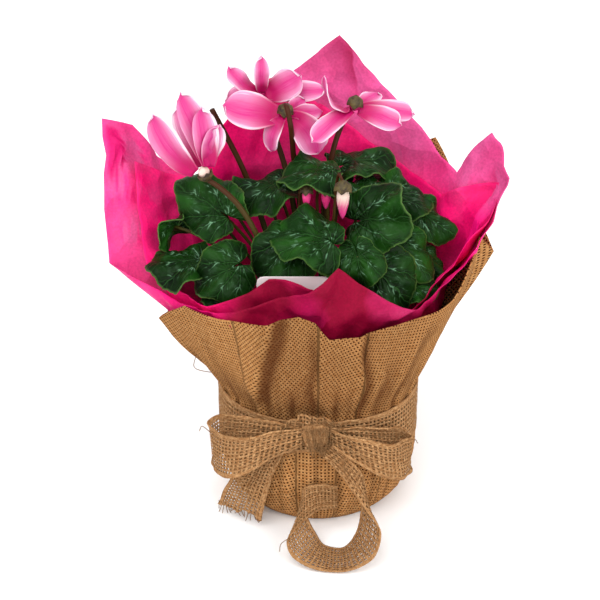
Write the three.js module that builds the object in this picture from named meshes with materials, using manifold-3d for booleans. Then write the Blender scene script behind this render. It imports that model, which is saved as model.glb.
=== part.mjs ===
// Potted cyclamen in a gift wrap: a plant in a nursery pot, two sheets of tissue, a sheet of
// burlap and a jute ribbon tied in a bow. Millimetres, +Z up, front towards -Y.
// The origin is the middle of the flat underside of the wrap, where it stands on the table.
import * as THREE from 'three';
import { mergeVertices } from 'three/addons/utils/BufferGeometryUtils.js';
import Module from 'manifold-3d';

const wasm = await Module();
wasm.setup();

// Nursery pot
const POT_BOTTOM = 3.6;
const POT_HEIGHT = 102;
const POT_RIM_RADIUS = 60;
const POT_WALL_TOP_RADIUS = 57;
const POT_BASE_RADIUS = 43;
const POT_WALL = 1.7;
const POT_RIM_DEPTH = 9;
const DRAIN_HOLES = 6;
const DRAIN_HOLE_RADIUS = 4;
const DRAIN_CIRCLE_RADIUS = 28;
const POT_SEGMENTS = 28;

// Soil and tuber
const SOIL_TOP = 92;
const TUBER_RADIUS = 30;
const TUBER_HALF_HEIGHT = 14;
const TUBER_CENTRE_HEIGHT = 87;
const ROOT_DEPTH = 5;
const HOLE_ROOM = 0.55;

// Plant
const BLADE_THICKNESS = 0.7;
const PETIOLE_RADIUS = 1.15;
const FLOWER_STEM_RADIUS = 1.5;
const STEM_SIDES = 5;
const CANOPY_REACH = 100;
const CROWN_REACH = 23;
const PETAL_THICKNESS = 0.7;
const HUB_RADIUS = 3.6;

// Wrap, from the inside outwards: radius of each sheet round the pot, and its thickness
const WRAP_SECTORS = 40;
const TISSUE_THICKNESS = 0.7;
const TISSUE_FLARE_HEIGHT = 98;
const BURLAP_THICKNESS = 1;
const BURLAP_FLARE_HEIGHT = 84;
const FRONT_LIFT = 8;
const FLARE_STEPS = 4;
const BELLY = 3;
const FOLD_DEPTH = 1.5;
const FOLDS = 13;
const RIBBON_THICKNESS = 0.8;
const RIBBON_WIDTH = 40;
const WAIST_RADIUS = 65.8;
const GAP = 0.35;

const UP = new THREE.Vector3(0, 0, 1);
const cyclamen = new THREE.Group();

// Materials
const finish = (color, roughness) =>
  new THREE.MeshStandardMaterial({ color, roughness, metalness: 0, side: THREE.DoubleSide });
const COLOURS = {
  pot: ['#2b2622', 0.45],
  soil: ['#2a1c14', 0.95],
  tuber: ['#4a3423', 0.9],
  tag: ['#f1e4e4', 0.35],
  burlap: ['#c08a55', 0.9],
  tissueOuter: ['#e0308f', 0.7],
  tissueInner: ['#c9147a', 0.7],
  ribbon: ['#a98a5e', 0.9],
  leaf: ['#1e5b2a', 0.4],
  petal: ['#f0479b', 0.5],
  stem: ['#5a2a1e', 0.5],
};

function addPart(name, geometry, colour) {
  const mesh = new THREE.Mesh(geometry, finish(...COLOURS[colour]));
  mesh.name = name;
  cyclamen.add(mesh);
}

// Joining and cutting

function toSolid(geometry) {
  const bare = new THREE.BufferGeometry();
  bare.setAttribute('position', geometry.getAttribute('position'));
  if (geometry.index) bare.setIndex(geometry.index);
  const welded = mergeVertices(bare, 1e-4);
  return new wasm.Manifold(new wasm.Mesh({
    numProp: 3,
    vertProperties: new Float32Array(welded.attributes.position.array),
    triVerts: new Uint32Array(welded.index.array),
  }));
}

function toGeometry(solid) {
  const mesh = solid.getMesh();
  const geometry = new THREE.BufferGeometry();
  geometry.setAttribute('position', new THREE.BufferAttribute(mesh.vertProperties, 3));
  geometry.setIndex(new THREE.BufferAttribute(mesh.triVerts, 1));
  geometry.computeVertexNormals();
  return geometry;
}

// A small hollow that joining would seal inside is filled
function join(...geometries) {
  const whole = geometries.map(toSolid).reduce((sum, piece) => sum.add(piece));
  const shells = whole.decompose().sort((a, b) => b.volume() - a.volume());
  return toGeometry(shells[0]);
}

const vector = ([x, y, z]) => new THREE.Vector3(x, y, z);
const mix = (from, to, share) => from + (to - from) * share;

// Thin sheets: a middle surface of points and triangles, given its thickness on both sides

function thicken(points, triangles, thickness) {
  const normals = points.map(() => new THREE.Vector3());
  const edges = new Set();
  for (const [a, b, c] of triangles) {
    const across = points[b].clone().sub(points[a]);
    const slant = points[c].clone().sub(points[a]);
    const facing = across.cross(slant);
    for (const corner of [a, b, c]) normals[corner].add(facing);
    for (const [from, to] of [[a, b], [b, c], [c, a]]) edges.add(`${from},${to}`);
  }
  const count = points.length;
  const positions = [];
  for (const side of [0.5, -0.5]) {
    points.forEach((point, i) => {
      const shift = normals[i].clone().setLength(side * thickness);
      positions.push(...point.clone().add(shift).toArray());
    });
  }
  const faces = [];
  for (const [a, b, c] of triangles) {
    faces.push(a, b, c, a + count, c + count, b + count);
    for (const [from, to] of [[a, b], [b, c], [c, a]]) {
      if (edges.has(`${to},${from}`)) continue;
      faces.push(to, from, from + count, to, from + count, to + count);
    }
  }
  const geometry = new THREE.BufferGeometry();
  geometry.setAttribute('position', new THREE.Float32BufferAttribute(positions, 3));
  geometry.setIndex(faces);
  return geometry;
}

// A round sheet has a middle point and rings about it
function roundSheet(rings, sectors, thickness, place) {
  const points = [place(0, 0)];
  const triangles = [];
  const at = (ring, sector) => 1 + (ring - 1) * sectors + (sector % sectors);
  for (let ring = 1; ring <= rings; ring++) {
    for (let sector = 0; sector < sectors; sector++) {
      points.push(place(ring, sector));
      if (ring === 1) {
        triangles.push([0, at(1, sector), at(1, sector + 1)]);
      } else {
        triangles.push([at(ring - 1, sector), at(ring, sector), at(ring, sector + 1)]);
        triangles.push([at(ring - 1, sector), at(ring, sector + 1), at(ring - 1, sector + 1)]);
      }
    }
  }
  return thicken(points, triangles, thickness);
}

// A strip has rows along it and columns across it, and closes on itself when it is a band
function strip(rows, columns, thickness, place, closed = false) {
  const points = [];
  const triangles = [];
  const rowCount = closed ? rows : rows + 1;
  for (let row = 0; row < rowCount; row++) {
    for (let column = 0; column <= columns; column++) {
      points.push(place(row / rows, column / columns));
    }
  }
  const at = (row, column) => (row % rowCount) * (columns + 1) + column;
  for (let row = 0; row < rows; row++) {
    for (let column = 0; column < columns; column++) {
      triangles.push([at(row, column), at(row + 1, column), at(row + 1, column + 1)]);
      triangles.push([at(row, column), at(row + 1, column + 1), at(row, column + 1)]);
    }
  }
  return thicken(points, triangles, thickness);
}

function roundBar(path, radius, sides, steps) {
  const section = new THREE.Shape();
  for (let side = 0; side < sides; side++) {
    const angle = (side / sides) * 2 * Math.PI;
    const corner = [radius * Math.cos(angle), radius * Math.sin(angle)];
    if (side === 0) section.moveTo(...corner);
    else section.lineTo(...corner);
  }
  section.closePath();
  return new THREE.ExtrudeGeometry(section, { steps, extrudePath: path, bevelEnabled: false });
}

// Turns a shape made about +Y so that it stands along a direction at a point
function standAlong(geometry, direction, at) {
  const turn = new THREE.Quaternion().setFromUnitVectors(new THREE.Vector3(0, 1, 0), direction);
  geometry.applyQuaternion(turn);
  geometry.translate(at.x, at.y, at.z);
  return geometry;
}

function upright(profile, segments) {
  const points = profile.map(([radius, height]) => new THREE.Vector2(radius, height));
  return new THREE.LatheGeometry(points, segments).rotateX(Math.PI / 2);
}

// Pot

function makePot() {
  const top = POT_BOTTOM + POT_HEIGHT;
  const rimFoot = top - POT_RIM_DEPTH;
  const shell = upright([
    [0, POT_BOTTOM],
    [POT_BASE_RADIUS, POT_BOTTOM],
    [POT_WALL_TOP_RADIUS, rimFoot],
    [POT_RIM_RADIUS - 0.4, rimFoot],
    [POT_RIM_RADIUS, top],
    [POT_RIM_RADIUS - POT_WALL, top],
    [POT_WALL_TOP_RADIUS - POT_WALL, rimFoot],
    [POT_BASE_RADIUS - POT_WALL, POT_BOTTOM + POT_WALL],
    [0, POT_BOTTOM + POT_WALL],
  ], POT_SEGMENTS);
  let pot = toSolid(shell);
  for (let hole = 0; hole < DRAIN_HOLES; hole++) {
    const angle = (hole / DRAIN_HOLES) * 2 * Math.PI;
    const drill = new THREE.CylinderGeometry(DRAIN_HOLE_RADIUS, DRAIN_HOLE_RADIUS, 4 * POT_WALL, 8);
    drill.rotateX(Math.PI / 2);
    drill.translate(DRAIN_CIRCLE_RADIUS, 0, POT_BOTTOM);
    drill.rotateZ(angle);
    pot = pot.subtract(toSolid(drill));
  }
  return toGeometry(pot);
}

// Wrap: sheets gathered round the pot. A rim lists the corners of a sheet's upper edge as
// [degrees from +X, distance from the middle, height], and the edge runs straight between them.

const OUTER_TISSUE_RIM = [
  [0, 111, 196], [9, 118, 222], [18, 114, 241], [27, 100, 206], [36, 98, 211], [45, 96, 228],
  [63, 90, 255], [81, 85, 285], [99, 83, 264], [117, 84, 246], [135, 88, 229], [144, 93, 225],
  [153, 104, 231], [162, 122, 244], [171, 137, 255], [180, 133, 178], [189, 102, 150],
  [198, 93, 150], [216, 85, 158], [234, 82, 167], [252, 78, 175], [270, 75, 183],
  [288, 73, 196], [306, 82, 180], [324, 89, 171], [342, 101, 177], [351, 106, 184],
];
const INNER_TISSUE_RIM = [
  [0, 104, 202], [9, 105, 212], [18, 97, 203], [27, 91, 192], [45, 84, 200], [63, 79, 216],
  [81, 77, 232], [99, 79, 250], [108, 80, 262], [117, 82, 258], [126, 84, 248], [135, 86, 236],
  [144, 91, 226], [153, 101, 232], [162, 112, 245], [171, 110, 222], [180, 112, 190],
  [189, 104, 158], [198, 91, 157], [216, 84, 161], [234, 76, 176], [243, 73, 186],
  [252, 71, 188], [261, 70, 180], [270, 69, 170], [288, 68, 165], [306, 74, 160],
  [324, 82, 160], [342, 94, 172], [351, 99, 186],
];
const BURLAP_RIM = [
  [0, 112, 167], [9, 111, 176], [18, 105, 182], [36, 102, 203], [45, 105, 216], [54, 100, 207],
  [72, 92, 196], [90, 88, 190], [108, 86, 182], [126, 86, 172], [144, 87, 158], [162, 90, 140],
  [180, 98, 128], [189, 103, 133], [198, 99, 146], [207, 94, 157], [225, 88, 159],
  [243, 83, 164], [261, 83, 172], [270, 82, 160], [279, 81, 156], [297, 83, 159],
  [315, 87, 161], [333, 95, 163], [351, 105, 169],
];

function rimAt(rim, degrees) {
  const next = rim.findIndex(([angle]) => angle > degrees);
  const [toAngle, toRadius, toHeight] = next < 0 ? [360, rim[0][1], rim[0][2]] : rim[next];
  const [fromAngle, fromRadius, fromHeight] = next < 0 ? rim[rim.length - 1] : rim[next - 1];
  const share = (degrees - fromAngle) / (toAngle - fromAngle);
  return [mix(fromRadius, toRadius, share), mix(fromHeight, toHeight, share)];
}

// How far a flaring sheet bellies out at a height above the start of its flare
function belly(rise, angle) {
  return (1 - Math.exp(-rise / 40)) * (BELLY + FOLD_DEPTH * Math.cos(FOLDS * angle));
}

// The lower stations are [radius, height] of the sheet's middle surface from the floor up
function gatheredSheet({ lower, flareHeight, frontLift, rim, thickness }) {
  const waist = lower[lower.length - 1][0];
  return roundSheet(lower.length + FLARE_STEPS, WRAP_SECTORS, thickness, (ring, sector) => {
    const floor = lower[0][1];
    if (ring === 0) return new THREE.Vector3(0, 0, floor);
    const degrees = (sector / WRAP_SECTORS) * 360;
    const angle = THREE.MathUtils.degToRad(degrees);
    const share = Math.max(0, (ring - lower.length) / FLARE_STEPS);
    const [rimRadius, rimHeight] = rimAt(rim, degrees);
    let [radius, height] = lower[Math.min(ring, lower.length) - 1];
    if (ring >= lower.length) {
      const start = flareHeight + frontLift * Math.max(0, -Math.sin(angle)) ** 2;
      height = mix(start, rimHeight, share);
      const rimBelly = belly(rimHeight - start, angle);
      radius = mix(waist, rimRadius - rimBelly, share) + belly(height - start, angle);
    }
    return new THREE.Vector3(radius * Math.cos(angle), radius * Math.sin(angle), height);
  });
}

function makeBurlap() {
  const floor = BURLAP_THICKNESS / 2;
  const waist = WAIST_RADIUS - 1.5;
  return gatheredSheet({
    lower: [[52, floor], [59, 9], [waist, 31], [waist, BURLAP_FLARE_HEIGHT]],
    flareHeight: BURLAP_FLARE_HEIGHT,
    frontLift: FRONT_LIFT,
    rim: BURLAP_RIM,
    thickness: BURLAP_THICKNESS,
  });
}

function makeTissue(layer, rim) {
  const floor = BURLAP_THICKNESS + GAP + TISSUE_THICKNESS / 2 + layer * (TISSUE_THICKNESS + GAP);
  const waist = WAIST_RADIUS - 2.9 - 1.3 * layer;
  return gatheredSheet({
    lower: [
      [49.5 - layer, floor], [57 - layer * 1.2, 10 + layer], [waist, 33 + layer],
      [waist, TISSUE_FLARE_HEIGHT],
    ],
    flareHeight: TISSUE_FLARE_HEIGHT,
    frontLift: 0,
    rim,
    thickness: TISSUE_THICKNESS,
  });
}

// Ribbon. A place on the waist is a length round it from the middle of the front, positive to
// the right, a height, and a distance from the pot's axis.
function onWaist(along, height, radius) {
  const angle = along / WAIST_RADIUS;
  return new THREE.Vector3(radius * Math.sin(angle), -radius * Math.cos(angle), height);
}

function makeBand() {
  return strip(32, 1, RIBBON_THICKNESS, (around, across) => {
    const along = around * 2 * Math.PI * WAIST_RADIUS;
    const front = Math.max(0, Math.cos(around * 2 * Math.PI)) ** 4;
    const middle = 63 + 15 * front;
    const width = mix(RIBBON_WIDTH, 22, front);
    return onWaist(-along, middle + (across - 0.5) * width, WAIST_RADIUS);
  }, true);
}

const KNOT = { at: [-2, -71.95, 80], half: [10.5, 5.6, 9] };

function makeKnot() {
  const knot = new THREE.SphereGeometry(1, 12, 8);
  knot.scale(...KNOT.half);
  knot.translate(...KNOT.at);
  return knot;
}

// A ribbon route lists stations: a middle point, the direction across the ribbon and its width
function ribbonAlong(stations, rows, columns) {
  const middle = new THREE.CatmullRomCurve3(stations.map((s) => vector(s.at)), false, 'centripetal');
  const across = new THREE.CatmullRomCurve3(stations.map((s) => vector(s.across)));
  const last = stations.length - 1;
  return strip(rows, columns, RIBBON_THICKNESS, (share, over) => {
    const place = share * last;
    const before = Math.min(Math.floor(place), last - 1);
    const width = mix(stations[before].width, stations[before + 1].width, place - before);
    const side = across.getPoint(share).normalize();
    return middle.getPoint(share).add(side.multiplyScalar((over - 0.5) * width));
  });
}

const LEFT_LOOP = [
  { at: [-12.7, -73, 80.5], across: [0.1, 0, 1], width: 10 },
  { at: [-31, -77, 76], across: [0.1, 0, 1], width: 20 },
  { at: [-51, -74, 67], across: [0.08, 0, 1], width: 27 },
  { at: [-64.5, -63, 60], across: [0.05, 0, 1], width: 30 },
  { at: [-69, -52, 58], across: [0, 0, 1], width: 30 },
  { at: [-63, -48, 60], across: [0.05, 0, 1], width: 29 },
  { at: [-49, -57, 65], across: [0.1, 0, 1], width: 26 },
  { at: [-31, -68, 73], across: [0.1, 0, 1], width: 19 },
  { at: [-12.9, -71, 79.5], across: [0.1, 0, 1], width: 9 },
];
const RIGHT_LOOP = [
  { at: [8.7, -73, 80.5], across: [-0.1, 0, 1], width: 10 },
  { at: [26, -78.5, 72], across: [-0.12, 0, 1], width: 20 },
  { at: [43, -75, 61], across: [-0.12, 0, 1], width: 25 },
  { at: [55, -64, 54], across: [-0.05, 0, 1], width: 27 },
  { at: [59, -54, 52], across: [0, 0, 1], width: 27 },
  { at: [54, -50, 54], across: [-0.05, 0, 1], width: 26 },
  { at: [42, -58, 60], across: [-0.1, 0, 1], width: 24 },
  { at: [26, -68.5, 71], across: [-0.1, 0, 1], width: 18 },
  { at: [8.9, -71, 79.5], across: [-0.1, 0, 1], width: 9 },
];

function makeLeftTail() {
  const start = { along: -11, height: 69.5, width: 12 };
  const end = { along: -48, height: 8.5, width: 27 };
  const off = WAIST_RADIUS + RIBBON_THICKNESS + GAP;
  return strip(7, 3, RIBBON_THICKNESS, (share, over) => {
    const lean = (over - 0.5) * mix(start.width, end.width, share ** 0.6);
    const along = mix(start.along, end.along, share) + lean * 0.92;
    const height = mix(start.height, end.height, share) + lean * 0.38;
    const stand = 1.2 * Math.sin(Math.PI * share) + share * (11 - 6 * over);
    return onWaist(along, height, off + stand);
  });
}

const RIGHT_TAIL = [
  { at: [2.2, -73, 70.9], across: [0.9, 0.1, 0.2], width: 10 },
  { at: [18, -81, 60], across: [0.75, 0.5, 0.5], width: 15 },
  { at: [30, -87, 46], across: [0.4, 0.85, 0.3], width: 21 },
  { at: [35, -92, 28], across: [0.3, 0.95, 0.05], width: 27 },
  { at: [31, -96, 11], across: [0.2, 0.97, 0], width: 28 },
  { at: [17, -96.5, 0.5], across: [0, 1, 0], width: 27 },
  { at: [3, -95.5, 1.2], across: [0, 1, 0], width: 27 },
  { at: [-11, -91.5, 9], across: [-0.15, 0.97, 0.1], width: 28 },
  { at: [-18, -86, 22], across: [-0.3, 0.9, 0.3], width: 27 },
  { at: [-15, -78, 33], across: [-0.3, 0.6, 0.75], width: 24 },
  { at: [-3, -70.5, 37], across: [-0.1, 0.2, 0.97], width: 20 },
  { at: [13, -69, 37], across: [0, 0.05, 1], width: 19 },
];

// Leaves. Each blade has its middle, the way its tip points, the way its upper side faces,
// its size, and how it is cupped, folded along the midrib and waved at the edge.
const LEAVES = [
  { at: [-69, -6, 209], tip: [-0.8, 0.2, 0.5], face: [-0.2, -0.75, 0.65], size: 43 },
  { at: [-33, 8, 213], tip: [-0.7, -0.5, -0.1], face: [-0.1, -0.2, 0.97], size: 40 },
  { at: [-6, 0, 230], tip: [-1, 0, 0.05], face: [0, -0.05, 1], size: 41 },
  { at: [27, 32, 222], tip: [0.85, 0.5, 0], face: [0.1, 0, 1], size: 45 },
  { at: [28, 7, 216], tip: [0.3, 0.9, 0.1], face: [0, -0.1, 1], size: 27 },
  {
    at: [-9, -35, 206], tip: [-0.85, 0.1, 0.5], face: [0.05, -0.72, 0.7], size: 45, wave: 0.2,
    foot: [20, -30],
  },
  {
    at: [-23, -33.5, 190], tip: [-0.6, -0.5, -0.4], face: [-0.05, -0.65, 0.75], size: 40, wave: 0.15,
    foot: [-22, -34],
  },
  { at: [35, -18, 208], tip: [0.95, -0.1, 0.1], face: [-0.1, -0.8, 0.6], size: 45, fold: 0.3 },
  { at: [55, -19, 182], tip: [0.7, -0.5, -0.4], face: [0.2, -0.6, 0.75], size: 38 },
  { at: [42, -42, 174], tip: [0.7, -0.3, -0.5], face: [0.1, -0.75, 0.65], size: 38, fold: -0.3 },
  { at: [20, -44, 186], tip: [0.2, -0.5, -0.75], face: [-0.1, -0.85, 0.5], size: 30 },
  { at: [76, 8, 192], tip: [0.85, -0.3, -0.4], face: [0.3, -0.5, 0.8], size: 37, wave: 0.2 },
  { at: [54, 12, 207], tip: [0.8, 0.3, -0.2], face: [0.2, -0.45, 0.85], size: 36 },
  { at: [63, -30, 162], tip: [0.6, -0.2, -0.3], face: [0, -0.4, 0.9], size: 22 },
  { at: [68, -8, 170], tip: [0.6, -0.5, -0.5], face: [0.4, -0.6, 0.7], size: 25 },
  { at: [-87, -17.5, 174.5], tip: [-0.95, -0.1, 0.05], face: [-0.05, -0.2, 0.95], size: 40, wave: 0.2 },
  { at: [-93, 3, 186], tip: [-0.5, -0.2, -0.85], face: [-0.7, 0.6, 0.4], size: 28, fold: 0.3 },
  { at: [-60, -36.5, 177], tip: [-0.8, -0.2, -0.35], face: [-0.1, -0.8, 0.6], size: 38, foot: [-55, -65] },
  { at: [-63, -33, 158], tip: [-0.7, -0.2, 0.1], face: [0, -0.3, 0.95], size: 22, foot: [-66, -44] },
  { at: [-60, 20, 206], tip: [-0.5, 0.8, 0], face: [-0.1, 0, 1], size: 22, foot: [-50, 23] },
  { at: [-36, 44, 197], tip: [-0.5, 0.85, 0], face: [-0.1, 0.1, 1], size: 33, foot: [-60, 52] },
  { at: [3, 46, 204], tip: [0, 1, 0], face: [0, 0.1, 1], size: 38 },
  { at: [42, 46, 203], tip: [0.5, 0.85, 0], face: [0.1, 0.1, 1], size: 36 },
  { at: [-70, 25, 189], tip: [-0.9, 0.4, 0], face: [-0.1, 0, 1], size: 30, foot: [-85, 52] },
];
const LEAF_ANGLES = [0, 30, 60, 90, 120, 147, 167, 180, 193, 213, 240, 270, 300, 330];
const LEAF_RINGS = [0.55, 1];

// Distance from the petiole to the edge of a leaf of size 1, at an angle from its tip
function leafReach(angle) {
  const back = Math.abs(angle) / Math.PI;
  const outline = 0.5 + 0.12 * (1 - back) ** 3 - 0.08 * back ** 2;
  const notch = 0.78 * Math.exp(-(((1 - back) / 0.045) ** 2));
  return outline * (1 - notch);
}

function leafFrame({ at, tip, face, size }) {
  const normal = vector(face).normalize();
  const tipward = vector(tip).addScaledVector(normal, -vector(tip).dot(normal)).normalize();
  const sideways = normal.clone().cross(tipward);
  const joint = vector(at).addScaledVector(tipward, -0.11 * size);
  return { normal, tipward, sideways, joint };
}

function makeBlade(leaf) {
  const { normal, tipward, sideways, joint } = leafFrame(leaf);
  const { size, cup = -0.3, fold = 0, wave = 0.12 } = leaf;
  return roundSheet(LEAF_RINGS.length, LEAF_ANGLES.length, BLADE_THICKNESS, (ring, sector) => {
    if (ring === 0) return joint.clone();
    const degrees = LEAF_ANGLES[sector];
    const angle = THREE.MathUtils.degToRad(degrees > 180 ? degrees - 360 : degrees);
    const reach = leafReach(angle) * LEAF_RINGS[ring - 1];
    const ahead = reach * Math.cos(angle);
    const aside = reach * Math.sin(angle);
    const lift = cup * reach ** 2 + fold * Math.abs(aside) + wave * reach ** 2 * Math.sin(5 * angle);
    return joint.clone()
      .addScaledVector(tipward, ahead * size)
      .addScaledVector(sideways, aside * size)
      .addScaledVector(normal, lift * size);
  });
}

// Stems stand in plain holes in the tuber, spread as the leaves are

function tuberTop(reach) {
  return TUBER_CENTRE_HEIGHT + TUBER_HALF_HEIGHT * Math.sqrt(1 - (reach / TUBER_RADIUS) ** 2);
}

function crownFoot(x, y) {
  const distance = Math.hypot(x, y);
  const reach = CROWN_REACH * Math.min(1, distance / CANOPY_REACH) ** 0.75;
  return new THREE.Vector3((x / distance) * reach, (y / distance) * reach, tuberTop(reach) - ROOT_DEPTH);
}

function petioleRoute(leaf) {
  const { normal, tipward, joint } = leafFrame(leaf);
  const foot = leaf.foot ? crownFoot(...leaf.foot) : crownFoot(leaf.at[0], leaf.at[1]);
  const rise = joint.distanceTo(foot);
  const lower = foot.clone().addScaledVector(UP, 0.45 * rise);
  const upper = joint.clone().addScaledVector(normal, -0.25 * rise).addScaledVector(tipward, -0.12 * rise);
  return new THREE.CubicBezierCurve3(foot, lower, upper, joint);
}

const stemRoutes = [];

function makeStem(route, radius, steps) {
  stemRoutes.push({ route, radius, steps });
  return roundBar(route, radius, STEM_SIDES, steps);
}

function makeTuber() {
  const body = new THREE.SphereGeometry(1, 14, 7);
  body.scale(TUBER_RADIUS, TUBER_HALF_HEIGHT, TUBER_RADIUS);
  body.rotateX(Math.PI / 2);
  body.translate(0, 0, TUBER_CENTRE_HEIGHT);
  let tuber = toSolid(body);
  for (const { route, radius, steps } of stemRoutes) {
    const foot = route.getPointAt(0);
    const lean = route.getPointAt(1 / steps).sub(foot).normalize();
    const hole = new THREE.CylinderGeometry(radius + HOLE_ROOM, radius + HOLE_ROOM, 4 * ROOT_DEPTH, 6);
    hole.translate(0, 2 * ROOT_DEPTH - GAP, 0);
    tuber = tuber.subtract(toSolid(standAlong(hole, lean, foot)));
  }
  return toGeometry(tuber);
}

// Plant label: a plate with rounded top corners and a point that stands in the soil
const LABEL = { thickness: 0.7, top: 183, bottom: 68, width: 47, shoulder: 150, point: 7, corner: 5 };
const LABEL_LEAN = THREE.MathUtils.degToRad(4.5);
const LABEL_MIDDLE = [-15, -42.5];

function labelPlate(extra) {
  const half = LABEL.width / 2 + extra;
  const tip = LABEL.point / 2 + extra;
  const plate = new THREE.Shape();
  plate.moveTo(-tip, LABEL.bottom - extra);
  plate.lineTo(tip, LABEL.bottom - extra);
  plate.lineTo(half, LABEL.shoulder);
  plate.lineTo(half, LABEL.top - LABEL.corner);
  plate.quadraticCurveTo(half, LABEL.top, half - LABEL.corner, LABEL.top);
  plate.lineTo(LABEL.corner - half, LABEL.top);
  plate.quadraticCurveTo(-half, LABEL.top, -half, LABEL.top - LABEL.corner);
  plate.lineTo(-half, LABEL.shoulder);
  plate.closePath();
  const depth = LABEL.thickness + 2 * extra;
  const geometry = new THREE.ExtrudeGeometry(plate, { depth, bevelEnabled: false, curveSegments: 3 });
  geometry.translate(0, -LABEL.bottom, -depth / 2);
  geometry.rotateX(Math.PI / 2 + LABEL_LEAN);
  geometry.translate(...LABEL_MIDDLE, LABEL.bottom);
  return geometry;
}

function makeSoil() {
  const inner = POT_BOTTOM + POT_WALL + GAP;
  const share = (SOIL_TOP - POT_BOTTOM) / (POT_HEIGHT - POT_RIM_DEPTH);
  const topRadius = mix(POT_BASE_RADIUS, POT_WALL_TOP_RADIUS, share) - POT_WALL - GAP;
  const fill = upright([
    [0, inner],
    [POT_BASE_RADIUS - POT_WALL - GAP, inner],
    [topRadius, SOIL_TOP],
    [0, SOIL_TOP],
  ], POT_SEGMENTS);
  const bowl = new THREE.SphereGeometry(1, 14, 7);
  bowl.scale(TUBER_RADIUS + GAP, TUBER_HALF_HEIGHT + GAP, TUBER_RADIUS + GAP);
  bowl.rotateX(Math.PI / 2);
  bowl.translate(0, 0, TUBER_CENTRE_HEIGHT);
  return toGeometry(toSolid(fill).subtract(toSolid(bowl)).subtract(toSolid(labelPlate(GAP))));
}

// Flowers. The hub is the short tube where the petals meet, and the calyx caps its upper end.
const FLOWERS = [
  {
    hub: [-68, -9, 236],
    calyx: [0.45, -0.1, -0.9],
    petals: [
      { tip: [-101, -6, 266], face: [-0.5, -0.85, -0.2], width: 20 },
      { tip: [-84, -2, 279], face: [-0.2, -0.95, 0], width: 18 },
      { tip: [-72, 6, 273], face: [0.4, -0.9, 0.1], width: 17 },
      { tip: [-57, -2, 259], face: [0.8, -0.6, 0.1], width: 16 },
      { tip: [-88, 14, 268], face: [-0.2, 0.9, 0.2], width: 20 },
    ],
    stem: [[-30, -13, 150], [-38, -21, 193], [-50, -19, 217], [-61, -12, 228]],
  },
  {
    hub: [-36, 42, 264],
    calyx: [0, 0.8, 0.6],
    petals: [
      { tip: [-57, 38, 282], face: [0.5, -0.7, 0.6], width: 12 },
      { tip: [-36, 37, 290], face: [0.3, -0.95, 0], width: 13 },
      { tip: [-11, 36, 278], face: [-0.2, -0.9, 0.5], width: 20 },
      { tip: [5, 38, 267], face: [-0.1, -0.5, 0.85], width: 15 },
      { tip: [-60, 44, 257], face: [0, -0.5, 0.85], width: 18 },
    ],
    stem: [
      [-10, 14, 150], [-20, 28, 212], [-30, 42, 240], [-36, 53, 254], [-37, 56, 262], [-36.5, 53, 268],
    ],
  },
  {
    hub: [-20, 16, 257],
    calyx: [0, -0.35, 0.94],
    petals: [
      { tip: [-60, 14, 266], face: [0, -0.55, 0.85], width: 22 },
      { tip: [-32, 13, 237], face: [-0.6, -0.75, 0.1], width: 12 },
      { tip: [-1, 13, 235], face: [0.2, -0.95, 0.1], width: 16 },
      { tip: [2, 20, 260], face: [0.1, -0.5, 0.85], width: 13 },
      { tip: [-15, 27, 278], face: [0, -0.9, 0.4], width: 15 },
    ],
    stem: [[-7, 8, 150], [-14, 23, 212], [-16, 19, 230], [-17, 8, 247], [-17.5, 5, 257], [-19, 8, 265]],
  },
  {
    hub: [22, 20, 260],
    calyx: [0.1, -0.2, 0.97],
    petals: [
      { tip: [-4, -2, 257], face: [-0.2, -0.6, 0.75], width: 19 },
      { tip: [3, 6, 289], face: [-0.9, -0.4, 0.1], width: 16 },
      { tip: [51, 9, 255], face: [0.2, -0.7, 0.7], width: 17 },
      { tip: [60, 25, 254], face: [0.2, -0.4, 0.9], width: 15 },
      { tip: [32, 50, 266], face: [0, -0.3, 0.95], width: 16 },
    ],
    stem: [[5, 7, 150], [6, 18, 212], [9, 21, 234], [13, 27, 250], [15.5, 30, 260], [19.5, 28, 268]],
  },
];

// Width of a petal of width 1 from its base to its tip
function petalWidth(share) {
  return 0.12 + 0.88 * Math.sin(Math.PI * 0.9 * share ** 1.15) ** 1.1;
}

function makePetal(hub, calyx, { tip, face, width }) {
  const span = vector(tip).sub(hub);
  const outward = span.clone().addScaledVector(calyx, -span.dot(calyx)).normalize();
  const base = hub.clone()
    .addScaledVector(calyx, -0.7 * HUB_RADIUS)
    .addScaledVector(outward, 0.4 * HUB_RADIUS);
  const bend = base.clone().addScaledVector(outward, 0.45 * span.length());
  const spine = new THREE.QuadraticBezierCurve3(base, bend, vector(tip));
  const facing = vector(face).normalize();
  return strip(5, 2, PETAL_THICKNESS, (along, across) => {
    const tangent = spine.getTangent(along);
    const side = facing.clone().cross(tangent).normalize();
    const normal = tangent.cross(side);
    const offset = (across - 0.5) * width * petalWidth(along);
    return spine.getPoint(along)
      .addScaledVector(side, offset)
      .addScaledVector(normal, 0.012 * offset ** 2);
  });
}

function makeCorolla({ hub, calyx, petals }) {
  const centre = vector(hub);
  const upward = vector(calyx).normalize();
  const tube = new THREE.SphereGeometry(HUB_RADIUS, 7, 4).translate(...hub);
  return join(tube, ...petals.map((petal) => makePetal(centre, upward, petal)));
}

// The calyx is a cup of sepals over the hub, with its mouth away from the calyx direction
function makeCalyx(hub, calyx, radius) {
  const wall = 0.8;
  const sides = 7;
  const clear = radius / Math.cos(Math.PI / sides) + GAP;
  const profile = [
    [0, clear], [0.7 * clear, 0.72 * clear], [clear, 0.25 * clear],
    [clear + wall, 0.25 * clear], [0.9 * clear + wall, 0.6 * clear + wall],
    [0.5 * clear, clear + 2 * wall], [0, clear + 3.5 * wall],
  ];
  const cup = new THREE.LatheGeometry(profile.map(([r, h]) => new THREE.Vector2(r, h)), sides);
  return standAlong(cup, vector(calyx).normalize(), vector(hub));
}

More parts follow.
